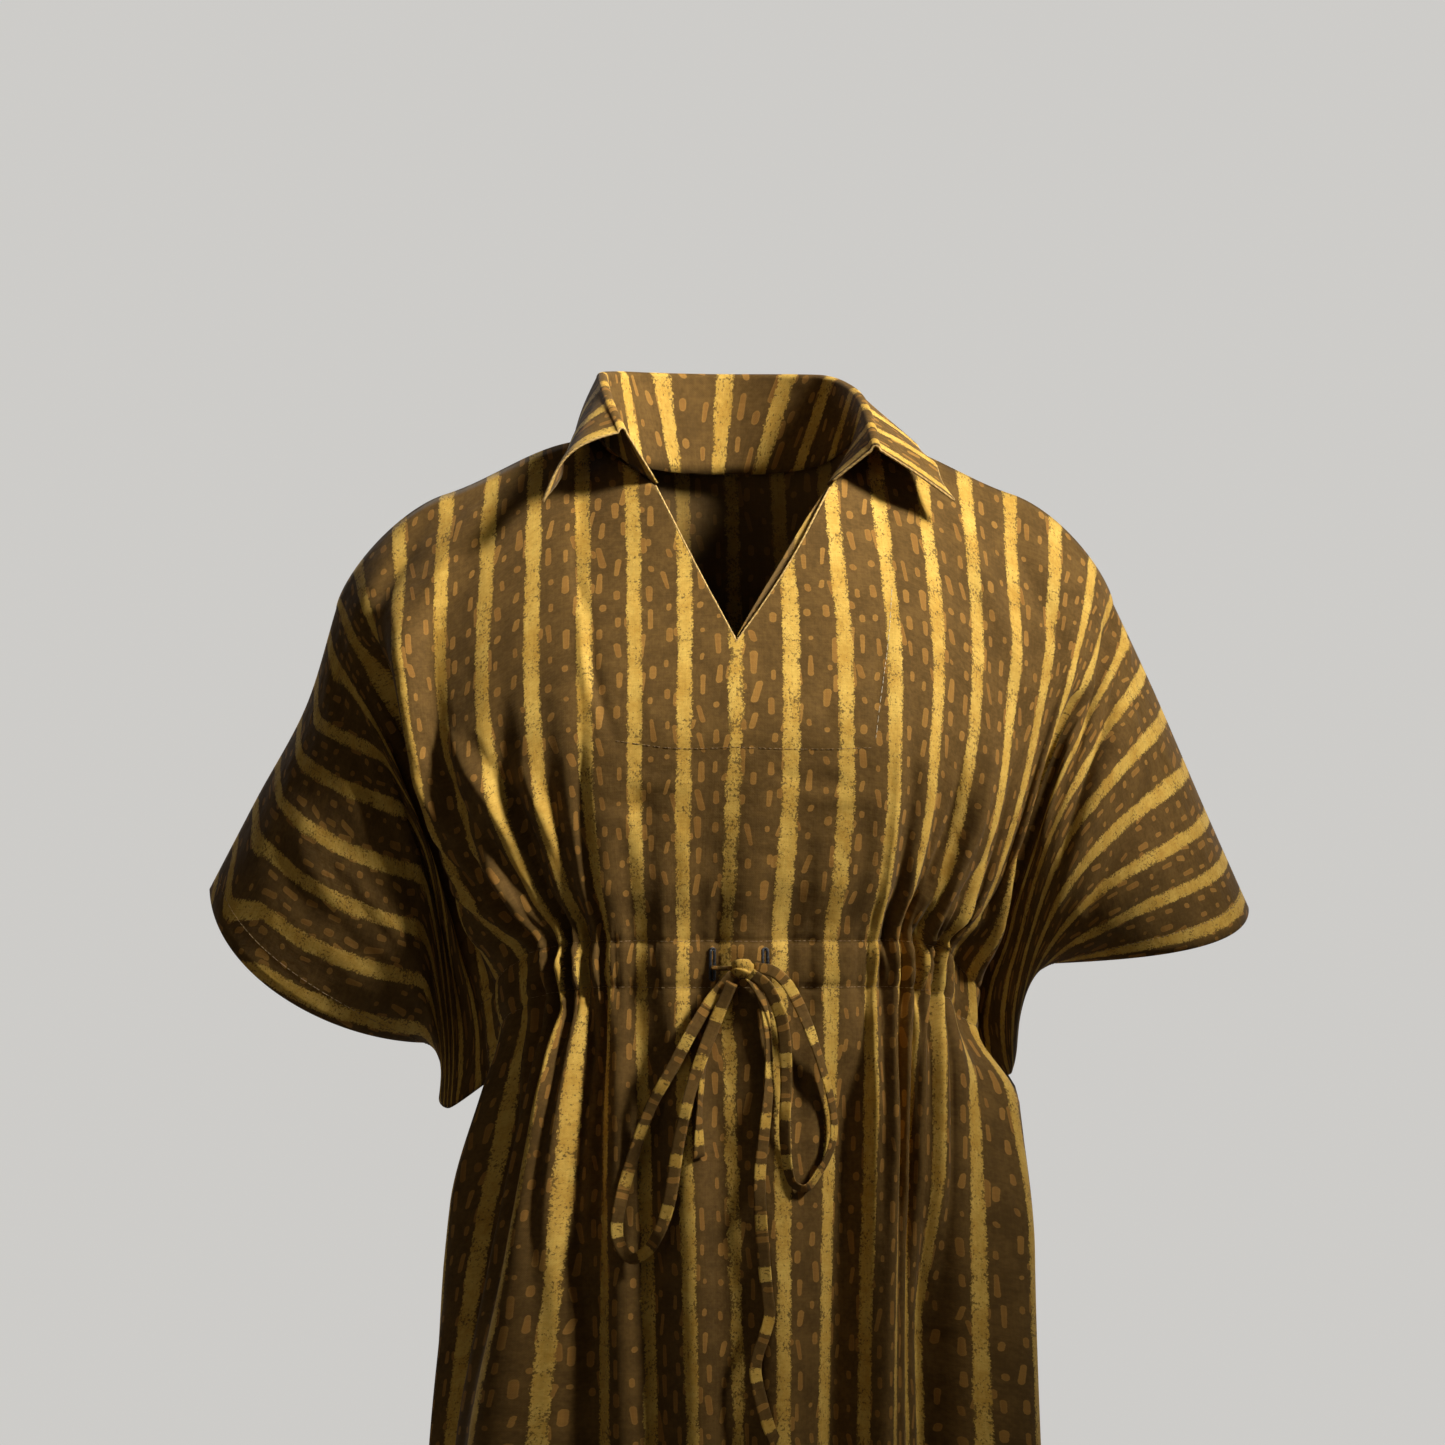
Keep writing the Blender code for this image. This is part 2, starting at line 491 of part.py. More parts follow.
def corner_normals(points, faces):
    """Unit normals at the points, each the sum of its faces' normals."""
    corners = points[np.array(faces)]
    across = np.cross(corners[:, 2] - corners[:, 0], corners[:, 3] - corners[:, 1])
    across /= np.linalg.norm(across, axis=1, keepdims=True)
    total = np.zeros_like(points)
    for k in range(4):
        np.add.at(total, np.array(faces)[:, k], across)
    return total / np.linalg.norm(total, axis=1, keepdims=True)


def join_seams(front, back):
    """Gives both panels one normal along the seams, and draws each back from the seam by half the gap.

    Where underarm and side seam meet, each panel keeps its own normal and a wider gap.
    """
    pairs = front.seam_pairs()
    corners = front.underarm_corners()
    own = [[cut.normals[underarm] + cut.normals[side] for _, underarm, side in corners]
           for cut in (front, back)]
    for seam, _ in pairs:
        total = front.normals[seam] + back.normals[seam]
        front.normals[seam] = back.normals[seam] = total / np.linalg.norm(total)
    for cut, totals in zip((front, back), own):
        for (corner, _, _), total in zip(corners, totals):
            cut.normals[corner] = total / np.linalg.norm(total)
    wider = {corner for corner, _, _ in corners}
    for cut in (front, back):
        moved = cut.points.copy()
        for seam, inner in pairs:
            way = cut.points[inner] - cut.points[seam]
            way -= cut.normals[seam] * (way @ cut.normals[seam])
            gap = CORNER_GAP if seam in wider else SEAM_GAP
            moved[seam] += way / np.linalg.norm(way) * gap / 2
        cut.points = moved


def wall(name, points, normals, faces, thickness, material):
    """A closed wall: the faces moved out and in by half the thickness, with a rim round every free edge."""
    faces = [list(f) for f in faces]
    used = sorted({i for f in faces for i in f})
    number = {old: new for new, old in enumerate(used)}
    faces = [[number[i] for i in f] for f in faces]
    outer = points[used] + normals[used] * thickness / 2
    inner = points[used] - normals[used] * thickness / 2
    count = len(used)
    edges = {}
    for f in faces:
        for i, j in zip(f, f[1:] + f[:1]):
            edges[(i, j)] = edges.get((i, j), 0) + 1
    rim = [(j, i, i + count, j + count) for i, j in edges if (j, i) not in edges]
    back_faces = [[i + count for i in reversed(f)] for f in faces]
    return add_mesh(name, np.vstack([outer, inner]), faces + back_faces + rim, material)


def add_mesh(name, points, faces, material):
    """A mesh object from points and faces, triangulated, with its material."""
    mesh = bpy.data.meshes.new(name)
    mesh.from_pydata([tuple(p) for p in points], [], [tuple(f) for f in faces])
    bm = bmesh.new()
    bm.from_mesh(mesh)
    bmesh.ops.triangulate(bm, faces=bm.faces, quad_method="SHORT_EDGE")
    bmesh.ops.recalc_face_normals(bm, faces=bm.faces)
    bm.to_mesh(mesh)
    bm.free()
    mesh.shade_smooth()
    mesh.materials.append(material)
    piece = bpy.data.objects.new(name, mesh)
    COLLECTION.objects.link(piece)
    return piece


def patch(cut, rows, columns, inward):
    """Part of a panel's grid moved inward: its points, normals and faces."""
    faces = []
    for row in range(rows[0], rows[1]):
        for column in range(columns[0], columns[1]):
            corners = (cut.index(row, column), cut.index(row + 1, column),
                       cut.index(row + 1, column + 1), cut.index(row, column + 1))
            faces.append(corners[::-1] if cut.back else corners)
    return cut.points - cut.normals * inward, cut.normals, faces


def neck_seam(front, back):
    """Where the collar's lower edge lies: just above and inside the panels' neck edge, evenly spaced."""
    edge = np.concatenate([
        front.neck_edge(-NECK_A, V_LEFT_A)[::-1],
        back.neck_edge(-NECK_A, NECK_A)[1:-1],
        front.neck_edge(V_RIGHT_A, NECK_A)[::-1],
    ])
    inwards = -edge * [1, 1, 0]
    inwards /= np.linalg.norm(inwards, axis=1, keepdims=True)
    tuck = ramp(edge[:, 1:2], NECK_TUCK_FROM, NECK_TUCK_TO)
    inset = inwards * (COLLAR_IN + TUCK_IN * tuck)
    rise = np.array([0, 0, 1]) * (COLLAR_UP - TUCK_DOWN * tuck)
    return smooth_route(edge + inset + rise, COLLAR_LENGTHS + 1)


def make_collar(front, back, material):
    """The collar: stand, roll and leaf between the neck seam, the roll line and the leaf's edge."""
    rows = np.array([[s.along, *s.roll, *s.edge, s.arch] for s in COLLAR], float)
    curves = smooth_rows(rows, np.linspace(0, 1, COLLAR_LENGTHS + 1)) * MM
    seam, roll, edge, arch = neck_seam(front, back), curves[:, :3], curves[:, 3:6], curves[:, 6:]
    outwards = edge * [1, 1, 0]
    outwards /= np.linalg.norm(outwards, axis=1, keepdims=True)
    centre = roll - [0, 0, ROLL_RADIUS]
    stand_top, leaf_top = centre - outwards * ROLL_RADIUS, centre + outwards * ROLL_RADIUS
    lines = [seam + (stand_top - seam) * u for u in np.linspace(0, 1, STAND_STEPS + 1)[:-1]]
    for turn in np.linspace(0, np.pi, ROLL_STEPS + 1):
        lines.append(centre + ROLL_RADIUS * (np.sin(turn) * np.array([0, 0, 1]) - np.cos(turn) * outwards))
    raised = arch * (outwards + [0, 0, 1]) / np.sqrt(2)
    lines += [leaf_top + (edge - leaf_top) * u + raised * np.sin(np.pi * u)
              for u in np.linspace(0, 1, LEAF_STEPS + 1)[1:]]
    grid = np.stack(lines, axis=1)
    points = grid.reshape(-1, 3)
    many, wide = len(seam), len(lines)
    faces = [(i * wide + k, (i + 1) * wide + k, (i + 1) * wide + k + 1, i * wide + k + 1)
             for i in range(many - 1) for k in range(wide - 1)]
    normals = corner_normals(points, faces)
    return wall("collar", points, normals, faces, COLLAR_WALL, material)


def smooth_route(points, count):
    """Evenly spaced points on a smooth curve through a route."""
    points = np.asarray(points, float)
    along = np.concatenate([[0], np.cumsum(np.linalg.norm(np.diff(points, axis=0), axis=1))])
    fine = np.linspace(0, along[-1], 400)
    before = np.vstack([2 * points[0] - points[1], points, 2 * points[-1] - points[-2]])
    i = np.clip(np.searchsorted(along, fine, side="right") - 1, 0, len(points) - 2)
    t = ((fine - along[i]) / (along[i + 1] - along[i]))[:, None]
    p0, p1, p2, p3 = (before[i + k] for k in range(4))
    curve = 0.5 * (2 * p1 + (p2 - p0) * t + (2 * p0 - 5 * p1 + 4 * p2 - p3) * t ** 2
                   + (3 * p1 - p0 - 3 * p2 + p3) * t ** 3)
    length = np.concatenate([[0], np.cumsum(np.linalg.norm(np.diff(curve, axis=0), axis=1))])
    return np.column_stack([np.interp(np.linspace(0, length[-1], count), length, curve[:, k])
                            for k in range(curve.shape[1])])


def cloth_front(front, x, z, reach=0.010):
    """The foremost y of the front panel near a place seen from the front."""
    near = np.hypot(front.points[:, 0] - x, front.points[:, 2] - z)
    chosen = near < max(reach, np.sort(near)[3])
    return front.points[chosen, 1].min()


def tie(name, front, route, lift, material):
    """A flat strip of folded cloth along a route, lying in front of the panel."""
    route = np.array(route, float) * MM
    steps = max(4, round(np.linalg.norm(np.diff(route, axis=0), axis=1).sum() / TIE_STEP))
    flat = smooth_route(route, steps + 1)
    stand = np.array([cloth_front(front, x, z) for x, z in flat])
    for _ in range(3):
        eased = stand.copy()
        eased[1:-1] = np.minimum(stand[1:-1], (stand[:-2] + stand[1:-1] + stand[2:]) / 3)
        stand = eased
    height = np.interp(np.linspace(0, 1, steps + 1), np.linspace(0, 1, len(lift)), lift) * MM
    line = np.column_stack([flat[:, 0], stand - height, flat[:, 1]])
    ahead = np.gradient(line, axis=0)
    ahead /= np.linalg.norm(ahead, axis=1, keepdims=True)
    side = np.cross(ahead, [0, -1, 0])
    side /= np.linalg.norm(side, axis=1, keepdims=True)
    up = np.cross(side, ahead)
    half, thick = TIE_WIDTH / 2, TIE_WALL / 2
    ring = [(-half, -thick), (half, -thick), (half, thick), (-half, thick)]
    points = np.concatenate([line + side * u + up * v for u, v in ring])
    count = len(line)
    faces = [(k * count + i, k * count + i + 1, (k + 1) % 4 * count + i + 1, (k + 1) % 4 * count + i)
             for k in range(4) for i in range(count - 1)]
    faces += [[k * count for k in range(4)], [k * count + count - 1 for k in range(3, -1, -1)]]
    return add_mesh(name, points, faces, material)


def make_knot(front, material):
    """The bow's knot: a small rounded lump in front of the cloth."""
    x, z = KNOT[0] * MM, KNOT[1] * MM
    place = Matrix.Translation((x, cloth_front(front, x, z) - KNOT_STANDS_OFF, z))
    mesh = bpy.data.meshes.new("tie_knot")
    bm = bmesh.new()
    shape = place @ Matrix.Diagonal((*KNOT_HALF, 1))
    bmesh.ops.create_uvsphere(bm, u_segments=12, v_segments=8, radius=1, matrix=shape)
    bmesh.ops.triangulate(bm, faces=bm.faces)
    bm.to_mesh(mesh)
    bm.free()
    mesh.shade_smooth()
    mesh.materials.append(material)
    knot = bpy.data.objects.new("tie_knot", mesh)
    COLLECTION.objects.link(knot)
    return knot


def cloth_material(name, colour, roughness=0.85):
    """A matt cotton."""
    material = bpy.data.materials.new(name)
    material.use_nodes = True
    shader = material.node_tree.nodes["Principled BSDF"]
    shader.inputs["Base Color"].default_value = (*colour, 1)
    shader.inputs["Roughness"].default_value = roughness
    shader.inputs["Metallic"].default_value = 0
    return material


for old in list(bpy.data.objects):
    bpy.data.objects.remove(old, do_unlink=True)
COLLECTION = bpy.data.collections.new("kaftan")
bpy.context.scene.collection.children.link(COLLECTION)

printed = cloth_material("printed_cotton", (0.16, 0.095, 0.03))
banded = cloth_material("tie_cotton", (0.30, 0.18, 0.05))

front, back = Cut(False), Cut(True)
join_seams(front, back)
wall("front", front.points, front.normals, front.faces, CLOTH, printed)
wall("back", back.points, back.normals, back.faces, CLOTH, printed)

facing = patch(front, (0, FACING_ROW), (front.column_at(-NECK_A), front.column_at(NECK_A)), LAYER)
wall("neck_facing", *facing, CLOTH, printed)
last_column = front.a.shape[1] - 1
for name, cut in (("waist_casing_front", front), ("waist_casing_back", back)):
    wall(name, *patch(cut, CASING_ROWS, (1, last_column - 1), LAYER), CLOTH, printed)
make_collar(front, back, printed)

make_knot(front, banded)
tie("tie_stub", front, STUB, (1.8, 6.0), banded)
tie("tie_loop_left", front, LOOP_LEFT, (9, 7, 5, 3, 3, 3, 5, 9, 12), banded)
tie("tie_loop_right", front, LOOP_RIGHT, (8, 15, 11, 6, 5, 5, 5.5, 11, 17), banded)
tie("tie_tail_short", front, TAIL_SHORT, (1.5, 1.9, 1.6, 2.6), banded)
tie("tie_tail_long", front, TAIL_LONG, (5.2, 2.5, 2.5, 2.5, 2.5, 3), banded)
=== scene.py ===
"""A loose block-printed kaftan: open collar, sleeves cut in one with the body, waist gathered by a tie.

Every panel is drawn from its flat cut. A point of the cloth has two flat coordinates: a, its distance across
from the centre line, and b, its distance down from the shoulder line. They place the point in space, and they
carry the print, whose stripes are the lines a = k x 33 mm. Metres, +Z up, the front faces -Y.
"""

import logging
from dataclasses import dataclass, field
from enum import Enum
from functools import partial, reduce
from typing import NamedTuple, Sequence

import bmesh
import bpy
import numpy as np
from bpy.types import ID, Material, Node, NodeSocket, NodeTree, Object
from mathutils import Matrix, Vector


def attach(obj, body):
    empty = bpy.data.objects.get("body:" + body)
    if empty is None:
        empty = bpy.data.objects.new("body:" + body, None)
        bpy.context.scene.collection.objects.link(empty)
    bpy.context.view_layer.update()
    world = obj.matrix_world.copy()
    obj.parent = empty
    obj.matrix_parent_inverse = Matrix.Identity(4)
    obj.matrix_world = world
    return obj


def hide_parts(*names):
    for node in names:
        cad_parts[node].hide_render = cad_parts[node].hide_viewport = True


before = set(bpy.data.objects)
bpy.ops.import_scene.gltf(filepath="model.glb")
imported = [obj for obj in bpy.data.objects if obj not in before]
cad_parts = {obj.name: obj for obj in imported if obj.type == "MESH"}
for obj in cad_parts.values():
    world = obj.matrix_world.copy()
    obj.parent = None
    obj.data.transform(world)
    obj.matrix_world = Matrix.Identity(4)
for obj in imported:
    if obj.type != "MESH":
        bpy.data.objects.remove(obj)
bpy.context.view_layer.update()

LOG = logging.getLogger("kaftan")
Array = np.ndarray
MM = 0.001
TINY = 1e-9

# Sizes of the cut
CUFF_A = 0.54  # half the cloth's width: centre line to cuff
SIDE_A = 0.31  # centre line to side seam
FAR_A, NEAR_A = 0.2, 0.1
NECK_A = 0.088  # centre line to the collar seam on the shoulder
GATHER_A = 0.215  # outer end of the tight gathers
ARM_B = 0.42  # shoulder line to the foot of the underarm seam
HEM_B = 1.24
V_TIP_B = 0.165  # foot of the V opening
V_END_B = 0.042  # where the collar ends on each edge of the V
V_LEFT_A, V_RIGHT_A = -0.05, 0.066
BACK_NECK_B = 0.024
NECK_CURVE = 0.8  # power of the neck seam's curve from the shoulder to the V
CHANNEL_B = 0.386  # middle of the waist channel
CHANNEL_ROWS = (0.371, 0.401)
FREE_B = 0.205  # from this row down, the rows are level across the neck too
FACING_B = 0.24
HEM_ON = 2.0  # a fold that ends at this row runs on through the hem
CASING_SHORT = 0.0136  # how far a waist casing's end stops short of the side seam
SLEEVE_DEPTHS = ((0.31, 0.42), (0.38, 0.36), (0.46, 0.305), (0.54, 0.27))
STRIPE_PITCH = 0.033
CLOTH, COLLAR_WALL = 0.0012, 0.0016
LAYER = CLOTH + 0.0003
TIE_WIDTH, TIE_WALL = 0.0085, 0.0018

# The solids' own rows, down to the foot of the underarm seam and below it
UPPER_ROWS = (0, 0.035, 0.075, 0.12, V_TIP_B, FREE_B, FACING_B, 0.285, 0.325, 0.352,
              CHANNEL_ROWS[0], CHANNEL_B, CHANNEL_ROWS[1], ARM_B)
LOWER_ROWS = (0.45, 0.5, 0.57, 0.67, 0.8, 1.0, HEM_B)

# The power of the sections' superellipse, and the columns that a section places
ROUNDNESS = 2.5
GUIDES_A = (0, NEAR_A, FAR_A, SIDE_A)

# How the back differs: how far back its side column lies above the underarm, the rows by which its columns
# are spread evenly and its armhole comes forward again, and the power of that spread
ARMHOLE_BACK, BACK_EVEN_B, BACK_FORWARD_B, BACK_SPREAD = 0.045, 0.3, 0.24, 0.95

# The neck edge's own way forward and back, the way both share at the shoulder seam, and where they come to it
NECK_FRONT_Y, NECK_BACK_Y, NECK_SEAM_Y = -0.028, 0.042, 0.007
NECK_MEET_A, NECK_MEET_B = 0.07, 0.03

# Where the trunk starts to leave the sleeve's first column, and how far out the sleeve takes up that step
TRUNK_LEAVES_B, SLEEVE_TAKES_UP = 0.29, 0.09

# How the armhole's turn and the cloth above the underarm are rounded: from where, how far and how much
EASE_FROM_A, EASE_REACH, EASE_FROM_B = 0.26, 0.07, 0.26
EASE, EASE_ROUNDS = 0.5, 3


class Section(NamedTuple):
    """One level of the front: x of its columns, their heights and its depths, in millimetres."""

    b: float
    x_mid: float
    l_near: float
    l_far: float
    l_side: float
    r_near: float
    r_far: float
    r_side: float
    z_mid: float
    z_near: float
    z_far: float
    z_side: float
    y_mid: float
    y_side: float


SECTIONS = tuple(Section(*row) for row in (
    (0, 1, -98, -189, -262, 99, 191, 259, 8, 2, -34, -62, 0, 0),
    (0.042, 3, -97, -190, -255, 101, 191, 252, -28, -34, -72, -100, -34, -12),
    (0.1, 5, -95, -190, -239, 106, 191, 239, -80, -86, -126, -150, -70, -22),
    (0.165, 6, -94, -187, -221, 110, 186, 222, -134, -142, -182, -206, -102, -25),
    (0.24, 5, -92, -172, -201, 109, 173, 204, -204, -212, -250, -276, -126, -18),
    (0.325, 1, -85, -143, -176, 102, 153, 183, -283, -288, -308, -338, -121, -6),
    (0.371, -1, -78, -120, -157, 94, 138, 161, -328, -328, -334, -377, -112, 2),
    (0.401, -1, -78, -119, -155, 94, 138, 163, -358, -358, -364, -407, -112, 4),
    (0.45, 1, -81, -130, -166, 94, 139, 197, -406, -407, -414, -454, -117, 8),
    (0.57, 5, -83, -158, -184, 91, 139, 202, -525, -527, -536, -570, -127, 20),
    (0.72, 8, -83, -184, -196, 88, 142, 209, -675, -677, -686, -718, -132, 32),
    (0.98, 8, -87, -192, -215, 93, 152, 222, -933, -936, -944, -974, -136, 36),
    (1.24, 8, -92, -200, -230, 98, 164, 234, -1191, -1194, -1200, -1226, -140, 38),
))


class BackSection(NamedTuple):
    """One level of the back: its depth, and how much lower its centre lies than the front's."""

    b: float
    y_mid: float
    z_lower: float


BACK_SECTIONS = tuple(BackSection(*row) for row in (
    (0, 0, 0), (0.042, 34, 2), (0.1, 66, 6), (0.165, 88, 10), (0.24, 99, 16), (0.325, 92, 18),
    (0.371, 80, 18), (0.401, 80, 18), (0.45, 93, 17), (0.57, 118, 15), (0.72, 124, 15), (0.98, 128, 15),
    (1.24, 132, 15),
))


class Column(NamedTuple):
    """A line down a sleeve: its ends on the shoulder line and the underarm seam, and its curve's handles."""

    a: float
    top: tuple
    seam: tuple
    front_out: tuple
    front_in: tuple
    back_out: tuple
    back_in: tuple


LEFT_SLEEVE = tuple(Column(*row) for row in (
    (0.31, (-262, 5, -110), (-158, 6, -425), (12, -50, -15), (-9, -56, 129), (8, 48, -22), (-5, 58, 129)),
    (0.38, (-281, 8, -172), (-188, 16, -446), (12, -60, -20), (22, -116, 195), (10, 55, -26), (20, 62, 110)),
    (0.46, (-316, 10, -238), (-194, 20, -440), (15, -70, -30), (26, -137, 126), (8, 55, -30), (16, 80, 50)),
    (0.54, (-348, 12, -299), (-184, 26, -401), (10, -75, -60), (-59, -84, -5), (12, 60, -50), (-43, 68, 10)),
))
RIGHT_SLEEVE = tuple(Column(*row) for row in (
    (0.31, (259, 5, -107), (168, 6, -425), (-8, -55, -20), (6, -112, 150), (-8, 48, -22), (5, 58, 129)),
    (0.38, (286, 5, -165), (191, 16, -422), (-8, -65, -25), (-6, -152, 190), (-10, 55, -26), (-18, 64, 95)),
    (0.46, (321, 5, -246), (196, 21, -394), (-8, -75, -25), (9, -150, 118), (-8, 55, -30), (-16, 78, 45)),
    (0.54, (350, 5, -311), (191, 26, -350), (-5, -80, -30), (55, -112, 8), (-12, 60, -44), (48, 68, 10)),
))


class Gather(NamedTuple):
    """Gathers at the waist: limits across, number of ridges, height, and reach up and down."""

    a_from: float
    a_to: float
    ridges: float
    height: float
    up: float
    down: float


FRONT_GATHERS = tuple(Gather(*row) for row in (
    (-SIDE_A, -GATHER_A, 1.75, 0.004, 0.1, 0.16),
    (-GATHER_A, -NEAR_A, 4.5, 0.005, 0.13, 0.16),
    (-NEAR_A, NEAR_A, 3.5, 0.003, 0.1, 0.22),
    (NEAR_A, GATHER_A, 4.5, 0.005, 0.12, 0.18),
    (GATHER_A, SIDE_A, 1.75, 0.004, 0.1, 0.16),
))
BACK_GATHERS = tuple(Gather(*row) for row in (
    (-SIDE_A, -GATHER_A, 1.75, 0.004, 0.1, 0.18),
    (-GATHER_A, -NEAR_A, 4.5, 0.0036, 0.12, 0.2),
    (-NEAR_A, NEAR_A, 3.5, 0.004, 0.12, 0.24),
    (NEAR_A, GATHER_A, 4.5, 0.0036, 0.11, 0.18),
    (GATHER_A, SIDE_A, 1.75, 0.004, 0.1, 0.16),
))


class Fold(NamedTuple):
    """A large fold down the cloth: column, half width, height, and rows where it starts, fills and fades."""

    a: float
    half_width: float
    height: float
    b_start: float
    b_full: float
    b_fade: float
    b_end: float


FRONT_FOLDS = tuple(Fold(*row) for row in (
    (-0.232, 0.03, 0.012, 0.04, 0.12, 0.26, 0.37), (-0.272, 0.038, -0.018, 0.05, 0.14, 0.23, 0.33),
    (-0.18, 0.022, 0.007, 0.14, 0.26, 0.36, 0.39), (-0.155, 0.014, -0.006, 0.16, 0.28, 0.36, 0.39),
    (-0.085, 0.026, 0.005, 0.2, 0.31, 0.36, 0.4), (0.262, 0.034, -0.005, 0.12, 0.2, 0.27, 0.36),
    (0.19, 0.024, 0.008, 0.14, 0.26, 0.36, 0.39), (0.15, 0.016, -0.006, 0.15, 0.28, 0.36, 0.39),
    (0.095, 0.024, 0.005, 0.2, 0.31, 0.36, 0.4), (-0.262, 0.03, 0.01, 0.42, 0.52, 0.9, HEM_ON),
    (-0.215, 0.026, -0.016, 0.4, 0.5, 0.8, HEM_ON), (-0.155, 0.026, 0.014, 0.4, 0.48, 0.9, HEM_ON),
    (-0.108, 0.024, -0.018, 0.39, 0.45, 0.75, HEM_ON), (-0.062, 0.022, -0.013, 0.4, 0.5, 0.8, 1.15),
    (-0.028, 0.022, 0.01, 0.4, 0.5, 1, HEM_ON), (0.03, 0.026, 0.01, 0.4, 0.53, 1, HEM_ON),
    (0.075, 0.024, -0.015, 0.4, 0.5, 0.95, HEM_ON), (0.118, 0.026, 0.014, 0.4, 0.5, 0.95, HEM_ON),
    (0.168, 0.024, -0.014, 0.42, 0.52, 0.66, 0.9), (0.198, 0.03, -0.03, 0.5, 0.62, 1, HEM_ON),
    (0.258, 0.034, 0.016, 0.42, 0.55, 1, HEM_ON),
))
BACK_FOLDS = tuple(Fold(*row) for row in (
    (-0.25, 0.036, -0.007, 0.06, 0.16, 0.24, 0.34), (0.25, 0.036, -0.007, 0.06, 0.16, 0.24, 0.34),
    (-0.12, 0.03, 0.006, 0.12, 0.26, 0.36, 0.39), (0.135, 0.028, 0.006, 0.12, 0.26, 0.36, 0.39),
    (-0.24, 0.034, 0.014, 0.42, 0.55, 1, HEM_ON), (-0.18, 0.03, -0.018, 0.42, 0.55, 1, HEM_ON),
    (-0.11, 0.034, 0.014, 0.42, 0.58, 1, HEM_ON), (-0.045, 0.03, -0.016, 0.42, 0.56, 1, HEM_ON),
    (0.02, 0.032, 0.013, 0.42, 0.58, 1, HEM_ON), (0.09, 0.032, -0.017, 0.42, 0.55, 1, HEM_ON),
    (0.16, 0.034, 0.015, 0.42, 0.58, 1, HEM_ON), (0.228, 0.03, -0.016, 0.42, 0.55, 1, HEM_ON),
))


class Crease(NamedTuple):
    """A small soft ridge between two flat points, or a trough where the height is negative, in mm."""

    a_from: float
    b_from: float
    a_to: float
    b_to: float
    width: float
    height: float


